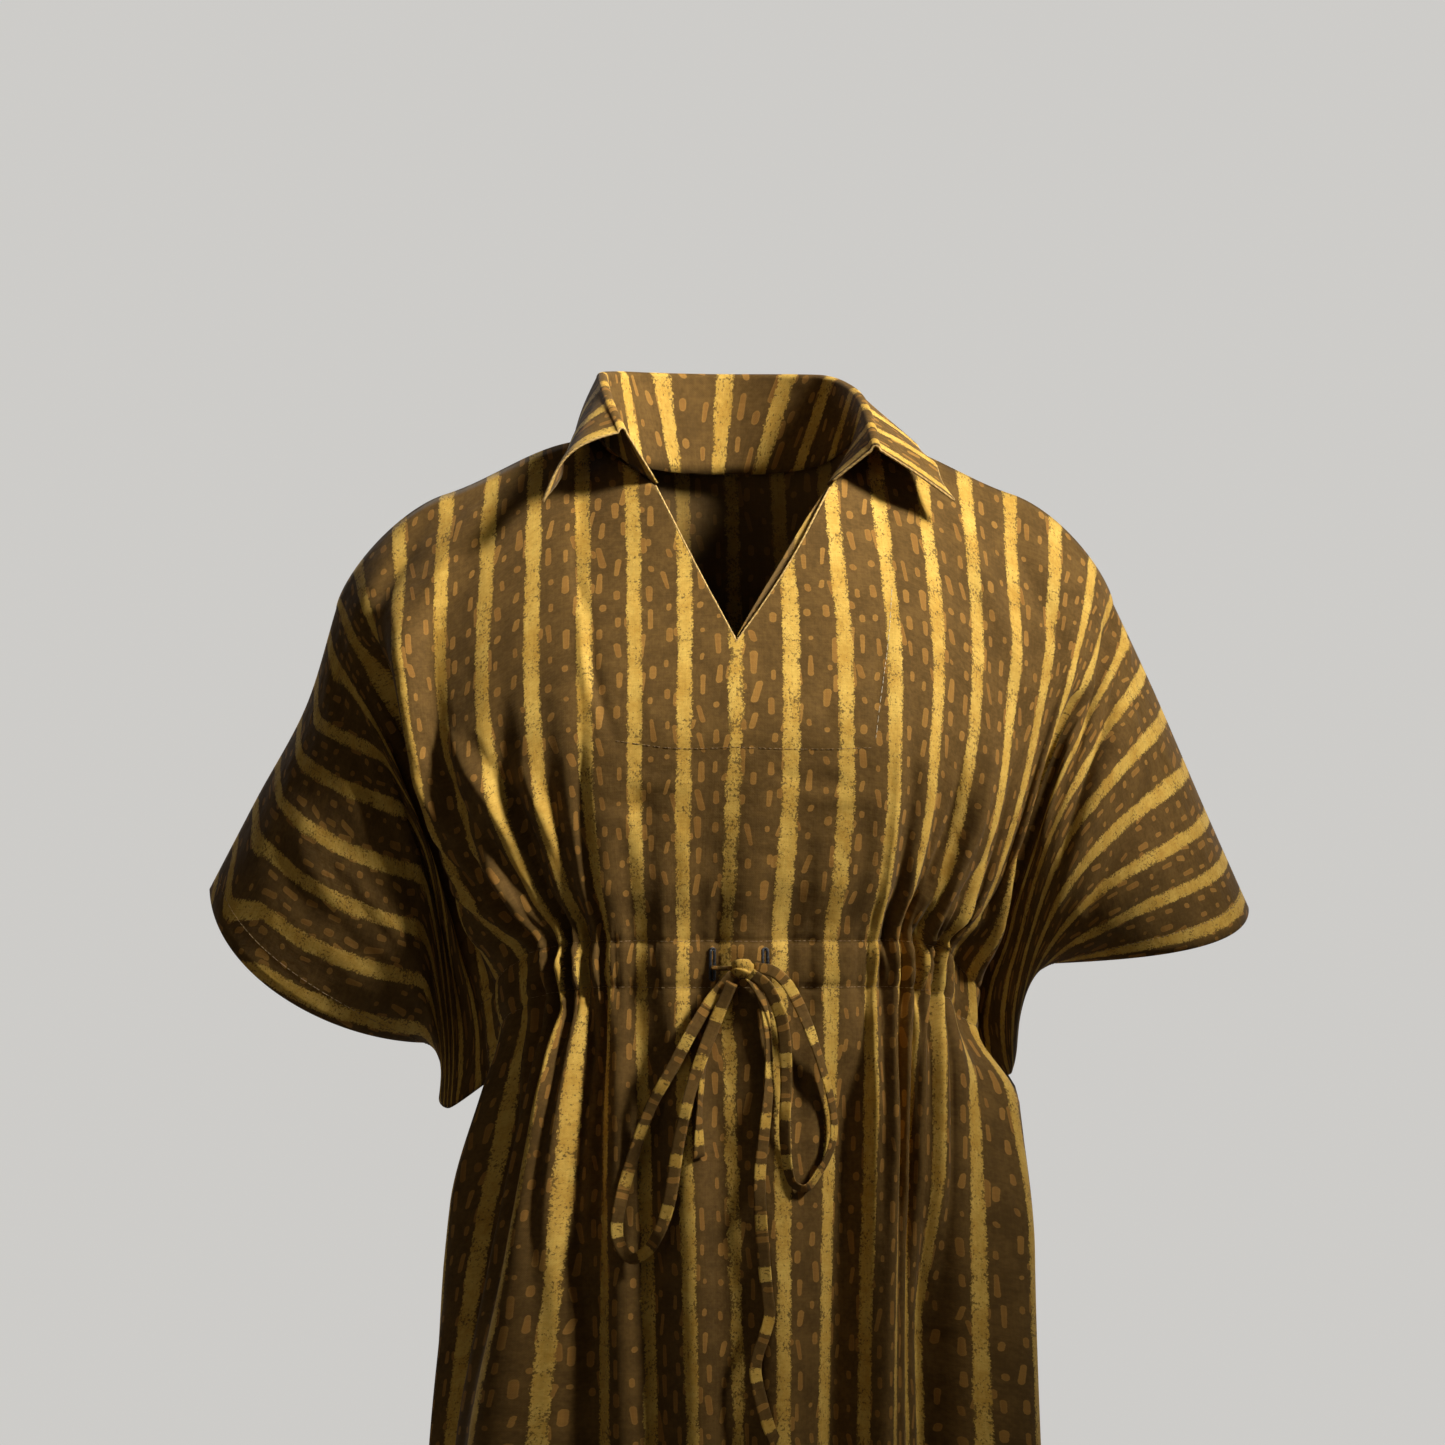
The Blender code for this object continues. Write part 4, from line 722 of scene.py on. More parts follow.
@dataclass
class PanelGrid:
    """A panel as a grid of the flat cut: left sleeve, trunk and right sleeve side by side, rows downwards."""

    back: bool
    trunk: Array  # the trunk's columns
    beyond: Array  # the sleeves' columns, past the side seam
    rows: Array
    detailed: bool = True  # whether the small creases and the channel are on it
    a: Array = field(init=False)
    b: Array = field(init=False)
    points: Array = field(init=False)
    normals: Array = field(init=False)

    def __post_init__(self) -> None:
        """Places the grid, eases the armholes and raises the folds."""
        across = np.concatenate([-self.beyond[::-1], self.trunk, self.beyond])
        self.a = np.tile(across, (len(self.rows), 1))
        top = np.where(np.abs(across) < NECK_A, neck_top(across, self.back), 0)
        level = self.rows[:, None]
        row_b = np.where(level < FREE_B, top + (FREE_B - top) * np.clip(level / FREE_B, 0, 1), level)
        depth = smooth_rows(SLEEVE_DEPTHS, np.abs(across))[..., 0]
        outside = np.abs(self.a) > SIDE_A + TINY
        self.b = np.where(outside, np.clip(level / ARM_B, 0, 1) * depth, row_b)
        self.points = self.place() + self.eased()
        self.normals = self.grid_normals()
        height = fold_height(self.a, row_b, BACK_GATHERS if self.back else FRONT_GATHERS,
                             BACK_FOLDS if self.back else FRONT_FOLDS)
        height = np.where(outside, 0, height)
        if self.detailed:
            height = height + crease_height(self.a, self.b, BACK_CREASES if self.back else FRONT_CREASES)
            small = Channel().height(self.a, self.b) + FineGathers().height(self.a, self.b, self.back)
            height = height + np.where(outside, 0, small)
        self.points = self.points + height[..., None] * self.normals
        self.normals = self.grid_normals()

    def place(self) -> Array:
        """The grid's points on the plain form."""
        n, wide = len(self.beyond), len(self.trunk)
        middle = n + int(np.argmin(np.abs(self.trunk)))
        t = np.tile(np.clip(self.rows / ARM_B, 0, 1)[:, None], (1, n))
        columns = self.a
        return np.concatenate([
            sleeve_part(columns[:, :n], t, self.back, False),
            body_half(columns[:, n:middle], self.b[:, n:middle], self.back, False),
            body_half(columns[:, middle:n + wide], self.b[:, middle:n + wide], self.back, True),
            sleeve_part(columns[:, n + wide:], t, self.back, True),
        ], axis=1)

    def eased(self) -> Array:
        """How far the turn from trunk to sleeve and the cloth above the underarm are rounded.

        On a coarse grid each point moves towards the mean of its four neighbours, three times. Smooth curves
        down and across then read that move on the fine grid.
        """
        inner = np.linspace(GATHER_A, SIDE_A, 8)[3:]
        columns = np.concatenate([inner, np.linspace(SIDE_A, CUFF_A, 7)[1:]])
        rows = np.array(UPPER_ROWS)
        turn = 1 - ramp(np.abs(columns - SIDE_A), 0, EASE_REACH)
        low = ramp(rows, EASE_FROM_B, rows[-2])
        share = EASE * np.maximum(turn[None, :], low[:, None])
        share[:, columns < EASE_FROM_A] = 0
        share[[0, -1]] = 0
        share[:, -1] = 0
        moves = []
        for right in (False, True):
            sign = 1 if right else -1
            a, b = np.meshgrid(sign * columns, rows)
            start = np.concatenate([body_half(a[:, :5], b[:, :5], self.back, right),
                                    sleeve_part(a[:, 5:], b[:, 5:] / ARM_B, self.back, right)], axis=1)
            now = start.copy()
            for _ in range(EASE_ROUNDS):
                mean = sum(np.roll(now, step, axis) for axis in (0, 1) for step in (1, -1)) / 4
                now = now + (mean - now) * share[..., None]
            down = smooth(rows, np.moveaxis(now - start, 0, -1), np.minimum(self.rows, ARM_B)[:, None, None])
            across = smooth(columns, np.moveaxis(down, 1, -1), np.abs(self.a[0])[:, None, None])
            moves.append(np.moveaxis(across, 0, 1))
        return np.where(self.a[..., None] < 0, moves[0], moves[1])

    def quads(self) -> Array:
        """The grid's faces, with their outer side towards the viewer in front and away from them behind."""
        far = np.abs(self.a[0])
        inside = (np.maximum(far[:-1], far[1:]) <= SIDE_A + TINY)[None, :]
        kept = inside | (self.rows[1:, None] <= ARM_B + TINY)
        faces = grid_faces(*self.a.shape)[kept.ravel()]
        return faces[:, ::-1] if self.back else faces

    def grid_normals(self) -> Array:
        """Unit normals at the grid's points, each the sum of its faces' unit normals."""
        return corner_normals(self.points, self.quads()).reshape(self.points.shape)

    def column_at(self, a: float) -> int:
        """The column nearest a place across."""
        return int(np.argmin(np.abs(self.a[0] - a)))

    def row_at(self, b: float) -> int:
        """The row nearest a place down."""
        return int(np.argmin(np.abs(self.rows - b)))

    def print_a(self) -> Array:
        """The print's place across: a, but on the left sleeve's front the stripes turn flatter.

        There the cloth is drawn aslant over the arm. Between two neighbours of SLEEVE_STRIPES the place runs
        evenly with the height, and it goes over to a itself at the shoulder line and towards the body.
        """
        if self.back:
            return self.a
        x, z = self.points[..., 0], self.points[..., 2]
        table = np.array(SLEEVE_STRIPES, float)
        heights = np.stack([np.interp(x, np.array(SLEEVE_X) * MM, row[1:] * MM) for row in table])
        upper = np.clip((heights > z).sum(axis=0) - 1, 0, len(table) - 2)[None]
        above, below = (np.take_along_axis(heights, upper + k, 0)[0] for k in (0, 1))
        number = table[upper[0], 0] + (above - z) / (above - below)
        share = ramp(-self.a, SIDE_A, SIDE_A + SLANT_OUT) * ramp(self.rows[:, None] / ARM_B, 0, SLANT_DOWN)
        share = share * (1 - ramp(x, *SLANT_X))
        return self.a + share * (-np.clip(number, *SLANT_STRIPES) * STRIPE_PITCH - self.a)

    def neck_edge(self, start: float, end: float) -> Array:
        """The points of the top edge between two places across."""
        return self.points[0, self.column_at(start):self.column_at(end) + 1]

    def on(self, a: Array, b: Array) -> tuple[Array, Array]:
        """The cloth at flat places, read between the grid's four nearest points.

        Args:
            a, b: the places.

        Returns:
            The points and the unit normals.
        """
        across = self.a[0]
        i = np.clip(np.searchsorted(across, a, side="right") - 1, 0, len(across) - 2)
        u = np.clip((a - across[i]) / (across[i + 1] - across[i]), 0, 1)
        lines = self.b[:, i] * (1 - u) + self.b[:, i + 1] * u
        j = np.clip((lines <= b).sum(axis=0) - 1, 0, len(self.rows) - 2)
        k = np.arange(len(j))
        v = np.clip((b - lines[j, k]) / np.maximum(lines[j + 1, k] - lines[j, k], TINY), 0, 1)
        u, v = u[:, None], v[:, None]
        read = []
        for g in (self.points, self.normals):
            upper = (1 - u) * g[j, i] + u * g[j, i + 1]
            lower = (1 - u) * g[j + 1, i] + u * g[j + 1, i + 1]
            read.append((1 - v) * upper + v * lower)
        return read[0], unit(read[1])


def grid_faces(lines: int, points: int, closed: bool = False) -> Array:
    """Four point numbers for each face of a grid, where a closed line's last point joins its first."""
    number = np.arange(lines * points).reshape(lines, points)
    after = np.roll(number, -1, axis=1)
    if not closed:
        number, after = number[:, :-1], after[:, :-1]
    return np.stack([number[:-1], number[1:], after[1:], after[:-1]], -1).reshape(-1, 4)


def corner_normals(points: Array, faces: Array) -> Array:
    """Unit normals at points: the sum of the unit normals of the faces round each.

    Args:
        points: the points.
        faces: four point numbers for each face.

    Returns:
        One normal for each point.
    """
    points = points.reshape(-1, 3)
    corners = points[faces]
    across = unit(np.cross(corners[:, 2] - corners[:, 0], corners[:, 3] - corners[:, 1]))
    total = np.zeros_like(points)
    for k in range(4):
        np.add.at(total, faces[:, k], across)
    return unit(total)


def join_seams(front: PanelGrid, back: PanelGrid) -> None:
    """Gives both panels the same points and normals along shoulder line, underarm and side seams."""
    arm = front.row_at(ARM_B)
    first, last = front.column_at(-SIDE_A), front.column_at(SIDE_A)
    far = np.abs(front.a[0])
    shared = np.zeros(front.a.shape, bool)
    shared[0, far >= NECK_A - TINY] = True
    shared[arm, far > SIDE_A + TINY] = True
    shared[arm:, [first, last]] = True
    middle = (front.points[shared] + back.points[shared]) / 2
    normal = unit(front.normals[shared] + back.normals[shared])
    for grid in (front, back):
        grid.points[shared] = middle
        grid.normals[shared] = normal


def placed(name: str, data: ID) -> Object:
    """A new object in the scene."""
    made = bpy.data.objects.new(name, data)
    bpy.context.scene.collection.objects.link(made)
    return made


def mesh_object(name: str, points: Array, faces: Array, uv: Array, materials: Sequence[Material],
                slots: Array | None = None) -> Object:
    """A smooth mesh object from arrays.

    Args:
        name: the piece's name.
        points: its points.
        faces: point numbers, three or four for each face.
        uv: each point's place in the print.
        materials: its materials.
        slots: each face's material, or the first for all.

    Returns:
        The linked object.
    """
    points = np.asarray(points, np.float32).reshape(-1, 3)
    count, corners = faces.shape
    mesh = bpy.data.meshes.new(name)
    mesh.vertices.add(len(points))
    mesh.vertices.foreach_set("co", points.ravel())
    mesh.loops.add(count * corners)
    mesh.loops.foreach_set("vertex_index", faces.astype(np.int32).ravel())
    mesh.polygons.add(count)
    mesh.polygons.foreach_set("loop_start", np.arange(count, dtype=np.int32) * corners)
    mesh.polygons.foreach_set("loop_total", np.full(count, corners, np.int32))
    mesh.update(calc_edges=True)
    for material in materials:
        mesh.materials.append(material)
    if slots is not None:
        mesh.polygons.foreach_set("material_index", np.asarray(slots, np.int32))
    layer = mesh.uv_layers.new(name="flat_cut")
    layer.data.foreach_set("uv", np.asarray(uv, np.float32).reshape(-1, 2)[faces.ravel()].ravel())
    mesh.shade_smooth()
    mesh.validate()
    return placed(name, mesh)


def outward(points: Array, faces: Array) -> Array:
    """Closed faces, turned round where the volume inside them, a sum of p0 x p1 . p2, comes out negative."""
    p = points.reshape(-1, 3)[faces]
    volume = sum(float((np.cross(p[:, 0], p[:, k - 1]) * p[:, k]).sum()) for k in range(2, faces.shape[1]))
    return faces[:, ::-1] if volume < 0 else faces


def shell(name: str, points: Array, normals: Array, faces: Array, uv: Array, thickness: float,
          outside: Material, inside: Material) -> Object:
    """A closed wall of cloth: faces moved out and in by half the thickness, with a rim at each free edge.

    Args:
        name: the piece's name.
        points, normals: the middle surface.
        faces: four point numbers for each face.
        uv: each point's place in the print.
        thickness: the wall's thickness.
        outside, inside: the finishes of its sides, the first one on the rim too.

    Returns:
        The linked object.
    """
    used, packed = np.unique(faces, return_inverse=True)
    faces = packed.reshape(faces.shape)
    points, normals, uv = (v.reshape(-1, v.shape[-1])[used] for v in (points, normals, uv))
    count = len(used)
    start, end = faces.ravel(), np.roll(faces, -1, axis=1).ravel()
    free = ~np.isin(start * count + end, end * count + start)
    rim = np.stack([end[free], start[free], start[free] + count, end[free] + count], axis=1)
    every = np.concatenate([faces, faces[:, ::-1] + count, rim])
    both = np.concatenate([points + normals * thickness / 2, points - normals * thickness / 2])
    slots = np.concatenate([np.zeros(len(faces)), np.ones(len(faces)), np.zeros(len(rim))])
    return mesh_object(name, both, outward(both, every), np.concatenate([uv, uv]), [outside, inside], slots)


def tube(name: str, line: Array, side: Array, up: Array, ring: Array, uv: Array,
         material: Material) -> Object:
    """A profile carried along a path and closed at both ends with a small crown.

    Args:
        name: the piece's name.
        line: the path.
        side, up: the profile's two directions at each point.
        ring: the profile's two coordinates, for each path point and ring point.
        uv: the same for the print.
        material: the finish.

    Returns:
        The linked object.
    """
    shape = line[:, None] + side[:, None] * ring[..., :1] + up[:, None] * ring[..., 1:]
    many, around = shape.shape[:2]
    faces = grid_faces(many, around, closed=True)
    here = np.arange(around)
    after = np.roll(here, -1)
    first, last = many * around, many * around + 1
    foot = (many - 1) * around
    caps = [np.stack([np.full(around, first), here, after], -1),
            np.stack([np.full(around, last), after + foot, here + foot], -1)]
    points = np.concatenate([shape.reshape(-1, 3), shape.mean(axis=1)[[0, -1]]])
    flat = np.concatenate([uv.reshape(-1, 2), uv[[0, -1]].mean(axis=1)])
    triangles = np.concatenate([faces[:, [0, 1, 2]], faces[:, [0, 2, 3]], *caps])
    return mesh_object(name, points, outward(points, triangles), flat, [material])


def frames_along(line: Array, out: Array) -> tuple[Array, Array]:
    """The side and up directions square to a path, the second as near to out as it can be."""
    ahead = unit(np.gradient(line, axis=0))
    side = unit(np.cross(ahead, out))
    return side, np.cross(side, ahead)


def round_tube(name: str, line: Array, out: Array, radius: float, material: Material,
               around: int = 8) -> Object:
    """A round tube along a path: radius x (cos, sin) round each point."""
    side, up = frames_along(line, out)
    turn = turns(around)
    ring = np.broadcast_to(radius * np.stack([np.cos(turn), np.sin(turn)], -1), (len(line), around, 2))
    length = lengths(line)
    uv = np.stack([np.broadcast_to(turn * radius, (len(line), around)),
                   np.broadcast_to(length[:, None], (len(line), around))], axis=-1)
    return tube(name, line, side, up, ring, uv, material)


class Noise(NamedTuple):
    """A noise: its cells to a metre, its detail and its roughness."""

    scale: float
    detail: float = 2.0
    roughness: float = 0.5


class Graph:
    """Short names for the shader nodes that the finishes are made of."""

    def __init__(self, tree: NodeTree) -> None:
        """Works in a node tree."""
        self.tree = tree

    def fill(self, node: Node, given: Sequence | dict) -> Node:
        """Gives a node's inputs their values, in order or by name."""
        for key, value in given.items() if isinstance(given, dict) else enumerate(given):
            self.feed(value, node.inputs[key])
        return node

    def node(self, kind: str, given: Sequence | dict = (), **settings: object) -> Node:
        """A new node with its settings and its inputs' values."""
        made = self.tree.nodes.new(kind)
        for name, value in settings.items():
            setattr(made, name, value)
        return self.fill(made, given)

    def feed(self, value: object, socket: NodeSocket) -> None:
        """Links a socket to another one, or sets its value."""
        if isinstance(value, NodeSocket):
            self.tree.links.new(value, socket)
        elif isinstance(value, (tuple, list)) and len(value) == 3 and socket.type == "RGBA":
            socket.default_value = (*value, 1)
        else:
            socket.default_value = value

    def math(self, operation: str, *values: object, clamp: bool = False) -> NodeSocket:
        """One Math node."""
        return self.node("ShaderNodeMath", values, operation=operation, use_clamp=clamp).outputs[0]

    def total(self, *values: object) -> NodeSocket:
        """The sum of two or more values."""
        return reduce(partial(self.math, "ADD"), values)

    def times(self, *values: object) -> NodeSocket:
        """The product of two or more values."""
        return reduce(partial(self.math, "MULTIPLY"), values)

    def less(self, value: object, other: object) -> NodeSocket:
        """One value less another."""
        return self.math("SUBTRACT", value, other)

    def swing(self, value: object, reach: object) -> NodeSocket:
        """A value from 0 to 1 as a swing to both sides of zero: (value - 1/2) x reach."""
        return self.times(self.less(value, 0.5), reach)

    def step(self, value: object, limits: tuple[float, float],
             to: tuple[float, float] = (0, 1)) -> NodeSocket:
        """A smooth step from one value to another between two limits."""
        values = (value, *limits, *to)
        return self.node("ShaderNodeMapRange", values, interpolation_type="SMOOTHSTEP").outputs[0]

    def mix(self, factor: object, one: object, two: object) -> NodeSocket:
        """One colour over another."""
        return self.node("ShaderNodeMix", {0: factor, 6: one, 7: two}, data_type="RGBA").outputs[2]

    def noise(self, vector: object, kind: Noise) -> NodeSocket:
        """Noise from 0 to 1."""
        values = {name.title(): value for name, value in kind._asdict().items()}
        return self.node("ShaderNodeTexNoise", {"Vector": vector, **values}).outputs[0]

    def vector(self, x: object = 0.0, y: object = 0.0, z: object = 0.0) -> NodeSocket:
        """A vector from three values."""
        return self.node("ShaderNodeCombineXYZ", (x, y, z)).outputs[0]

    def apart(self, vector: object) -> tuple[NodeSocket, ...]:
        """The three values of a vector or a colour."""
        return tuple(self.node("ShaderNodeSeparateXYZ", [vector]).outputs)

    def chance(self, vector: object) -> tuple[NodeSocket, ...]:
        """Three values from 0 to 1 that belong to a cell's whole numbers."""
        made = self.node("ShaderNodeTexWhiteNoise", [vector], noise_dimensions="3D")
        return self.apart(made.outputs["Color"])

    def group(self, tree: NodeTree, **values: object) -> Node:
        """A node group with its inputs."""
        given = {name.title(): value for name, value in values.items()}
        return self.node("ShaderNodeGroup", given, node_tree=tree)

    def flat_cut(self) -> NodeSocket:
        """The place on the flat cut."""
        return self.node("ShaderNodeUVMap", uv_map="flat_cut").outputs[0]

    def bump(self, height: object, strength: float, distance: float) -> NodeSocket:
        """The normal that a height gives."""
        given = {"Strength": strength, "Distance": distance, "Height": height}
        return self.node("ShaderNodeBump", given).outputs[0]


def new_group(name: str, values: Sequence[str], masks: Sequence[str],
              colours: Sequence[str] = ()) -> tuple[Graph, dict, dict]:
    """An empty shader node group, whose first input is the flat place.

    Args:
        name: the group's name.
        values: its further inputs.
        masks: its outputs of one value.
        colours: its outputs of a colour.

    Returns:
        The graph, its outputs and its inputs, each by name.
    """
    tree = bpy.data.node_groups.new(name, "ShaderNodeTree")
    for kind, way, labels in (("Vector", "INPUT", ["Vector"]), ("Float", "INPUT", values),
                              ("Color", "OUTPUT", colours), ("Float", "OUTPUT", masks)):
        for label in labels:
            tree.interface.new_socket(name=label, in_out=way, socket_type=f"NodeSocket{kind}")
    g = Graph(tree)
    given, result = g.node("NodeGroupInput"), g.node("NodeGroupOutput")
    return g, result.inputs, {s.name: s for s in given.outputs if s.name}


class DashColumn(NamedTuple):
    """A column of dashes: its place in the gap, pitch, seed, share that is printed, and longest half."""

    place: float
    pitch: float
    seed: float
    keep: float
    longest: float


DASH_COLUMNS = tuple(DashColumn(*row) for row in (
    (0.335, 0.0198, 1.0, 0.94, 0.0062),
    (0.665, 0.0213, 2.0, 0.92, 0.0058),
    (0.15, 0.026, 3.0, 0.5, 0.008),
    (0.852, 0.024, 4.0, 0.46, 0.0075),
))


@dataclass(frozen=True)
class Dashes:
    """One column of printed dashes in each gap between stripes.

    In a cell as long as the pitch, a dash is a capsule: the distance sqrt(x^2 + max(|y| - length, 0)^2) is
    under its width. Its place, length, width, slant and taper come from the cell's own chance values.
    """

    aside: float = 0.003
    slant: float = 2.4
    shorter: float = 1.2  # the power that makes short dashes more common
    ragged: float = 0.0007
    grain: Noise = Noise(900.0, 1.0)
    narrow: float = 0.0013
    wider: float = 0.0011
    taper: float = 75.0
    edge: tuple = (-0.00015, 0.00025)  # the depths between which the ink sets in
    rim: tuple = (0.001, 0.0003)  # and those between which the rim gives way to the middle

    def group(self) -> NodeTree:
        """The node group: a mask, how near the rim a point is, and the dash's own tone."""
        g, out, given = new_group("dash_column", [name.title() for name in DashColumn._fields],
                                     ("Mask", "Rim", "Tone"))
        pitch, seed = given["Pitch"], given["Seed"]
        a, b, _ = g.apart(given["Vector"])
        across = g.total(g.math("DIVIDE", a, STRIPE_PITCH), g.times(given["Place"], -1.0), 0.5)
        column = g.math("FLOOR", across)
        own, _, _ = g.chance(g.vector(column, seed, 3.0))
        down = g.total(g.math("DIVIDE", b, pitch), g.times(own, 7.0))
        row = g.math("FLOOR", down)
        one, two, three = g.chance(g.vector(g.total(column, g.times(seed, 31.0)), row, 0.0))
        four, five, six = g.chance(g.vector(column, row, g.total(seed, 9.0)))
        y = g.times(g.total(g.less(down, row), -0.5), pitch)
        slant = g.times(g.math("POWER", g.less(three, 0.5), 3.0), self.slant)
        x = g.total(g.times(g.total(g.less(across, column), -0.5), STRIPE_PITCH), g.swing(one, self.aside),
                    g.times(slant, y))
        half = g.times(g.math("POWER", two, self.shorter), given["Longest"])
        beyond = g.math("MAXIMUM", g.less(g.math("ABSOLUTE", y), half), 0.0)
        far = g.total(g.math("SQRT", g.total(g.times(x, x), g.times(beyond, beyond))),
                      g.swing(g.noise(given["Vector"], self.grain), self.ragged))
        taper = g.total(1.0, g.times(g.less(five, 0.5), y, self.taper))
        depth = g.less(g.times(g.total(self.narrow, g.times(four, self.wider)), taper), far)
        kept = g.math("LESS_THAN", six, given["Keep"])
        g.feed(g.times(g.step(depth, self.edge), kept), out["Mask"])
        g.feed(g.step(depth, self.rim), out["Rim"])
        g.feed(three, out["Tone"])
        return g.tree


@dataclass(frozen=True)
class Weave:
    """Plain-woven cotton: crossing threads, slubs along both ways and a soft crumple, in mm of height."""

    thread_pitch: float = 0.0011
    thread: float = 0.018
    slub: float = 0.06
    slub_cells: tuple = (900.0, 60.0)  # to a metre across a thread and along it
    crumple: float = 2.2
    crumple_grain: Noise = Noise(26.0, 3.0, 0.55)
    fine: float = 0.42
    fine_grain: Noise = Noise(110.0, 3.0, 0.6)
    tone: tuple = (0.12, 0.5)  # how much threads and slubs tone the cloth

    def group(self) -> NodeTree:
        """The node group: a height and a tone of the threads, from sin(a) x sin(b) and four noises."""
        g, out, given = new_group("cotton_weave", ["Crumple"], ("Height", "Thread"))
        a, b, _ = g.apart(given["Vector"])
        thread = g.times(*(g.math("SINE", g.times(way, 2 * np.pi / self.thread_pitch)) for way in (a, b)))
        slubs = g.total(*(g.noise(g.vector(g.times(a, one), g.times(b, two)), Noise(1.0, 1.0))
                          for one, two in (self.slub_cells, self.slub_cells[::-1])))
        crumple = g.times(g.noise(given["Vector"], self.crumple_grain), given["Crumple"], self.crumple)
        fine = g.times(g.noise(given["Vector"], self.fine_grain), given["Crumple"], self.fine)
        g.feed(g.total(g.times(thread, self.thread), g.times(slubs, self.slub), crumple, fine),
               out["Height"])
        g.feed(g.total(*(g.times(v, share) for v, share in zip((thread, slubs), self.tone))),
               out["Thread"])
        return g.tree


@dataclass(frozen=True)
class BlockPrint:
    """The print on brown cotton. Colours are linear, and widths are shares of the stripes' pitch."""

    ground: tuple = (0.082, 0.0435, 0.0098)
    ground_light: tuple = (0.124, 0.067, 0.0162)
    yellow: tuple = (0.57, 0.37, 0.08)
    yellow_deep: tuple = (0.41, 0.225, 0.033)
    dash: tuple = (0.215, 0.102, 0.021)
    dash_light: tuple = (0.31, 0.16, 0.034)
    pit: tuple = (0.1, 0.058, 0.014)
    faded: tuple = (0.15, 0.092, 0.036)
    half_width: float = 0.112
    varied: float = 0.085
    waver: float = 0.075
    jagged: float = 0.1
    frayed: float = 0.12
    edge: tuple = (-0.006, 0.01)  # the depths between which the ink sets in
    centre_line: tuple = (0.012, 0.006)  # how far from the centre line its worn stripe ends
    cloud: Noise = Noise(42.0, 3.0, 0.6)
    speck: Noise = Noise(820.0, 2.0, 0.6)
    fine: Noise = Noise(330.0, 3.0, 0.65)

    def dashed(self, g: Graph, place: object, ground: object, fine: object,
               dashes: NodeTree) -> NodeSocket:
        """The ground with its columns of dashes, paler at their rims."""
        colour = ground
        for column in DASH_COLUMNS:
            dash = g.group(dashes, vector=place, **column._asdict())
            tone = g.total(g.times(dash.outputs["Rim"], 0.25), g.times(dash.outputs["Tone"], 0.5),
                           g.times(fine, 0.3), -0.15)
            ink = g.mix(g.math("MAXIMUM", tone, 0.0, clamp=True), self.dash, self.dash_light)
            colour = g.mix(dash.outputs["Mask"], colour, ink)
        return colour

    def depth(self, g: Graph, place: object) -> NodeSocket:
        """How deep a place is inside a stripe: half width - |fract(a / pitch + waver + 1/2) - 1/2|.

        Args:
            g: the graph.
            place: the flat place.

        Returns:
            The depth, negative outside.
        """
        a, b, _ = g.apart(place)
        wave = g.noise(g.vector(g.times(a, 2.2), g.times(b, 0.8)), Noise(16.0))
        across = g.total(g.math("DIVIDE", a, STRIPE_PITCH), g.swing(wave, self.waver), 0.5)
        number = g.math("FLOOR", across)
        off = g.math("ABSOLUTE", g.total(g.less(across, number), -0.5))
        along = g.noise(g.vector(g.times(number, 3.7), g.times(b, 24.0)), Noise(1.0))
        worn = g.times(g.step(g.math("ABSOLUTE", a), self.centre_line),
                       g.step(g.noise(place, Noise(90.0)), (0.45, 0.62)), 0.12)
        half = g.total(self.half_width, g.times(along, self.varied),
                       g.swing(g.noise(place, Noise(150.0, 2.0, 0.7)), self.jagged),
                       g.swing(g.noise(place, self.speck), self.frayed), g.times(worn, -0.35))
        return g.less(half, off)

    def pits(self, g: Graph, place: object, depth: object) -> NodeSocket:
        """The pits in the stripes: more near the edges, in clouds, and on the centre line."""
        a, b, _ = g.apart(place)
        marks = g.noise(g.vector(g.times(a, 620.0), g.times(b, 480.0)), Noise(1.0, 3.0, 0.7))
        pitted = g.total(marks, g.times(g.step(depth, (0.08, 0.01)), 0.085),
                         g.swing(g.noise(place, Noise(70.0)), 0.42),
                         g.times(g.step(g.math("ABSOLUTE", a), (0.012, 0.007)), 0.045))
        return g.step(pitted, (0.575, 0.645))

    def group(self, dashes: NodeTree) -> NodeTree:
        """The node group: ground, four columns of dashes in each gap, then the stripes over them."""
        g, out, given = new_group("block_print", ["Fade"], ["Ink"], ["Color"])
        place = given["Vector"]
        cloud, fine = g.noise(place, self.cloud), g.noise(place, self.fine)
        mottled = g.step(g.total(g.times(cloud, 0.55), g.times(fine, 0.45)), (0.38, 0.64))
        colour = self.dashed(g, place, g.mix(mottled, self.ground, self.ground_light), fine, dashes)
        depth = self.depth(g, place)
        stripe = g.step(depth, self.edge)
        deep = g.step(g.total(g.times(cloud, 0.8), g.times(fine, 0.5), -0.18), (0.25, 0.7))
        yellow = g.mix(deep, self.yellow, self.yellow_deep)
        yellow = g.mix(g.times(self.pits(g, place, depth), 0.85), yellow, self.pit)
        colour = g.mix(given["Fade"], g.mix(stripe, colour, yellow), self.faded)
        g.feed(colour, out["Color"])
        g.feed(stripe, out["Ink"])
        return g.tree


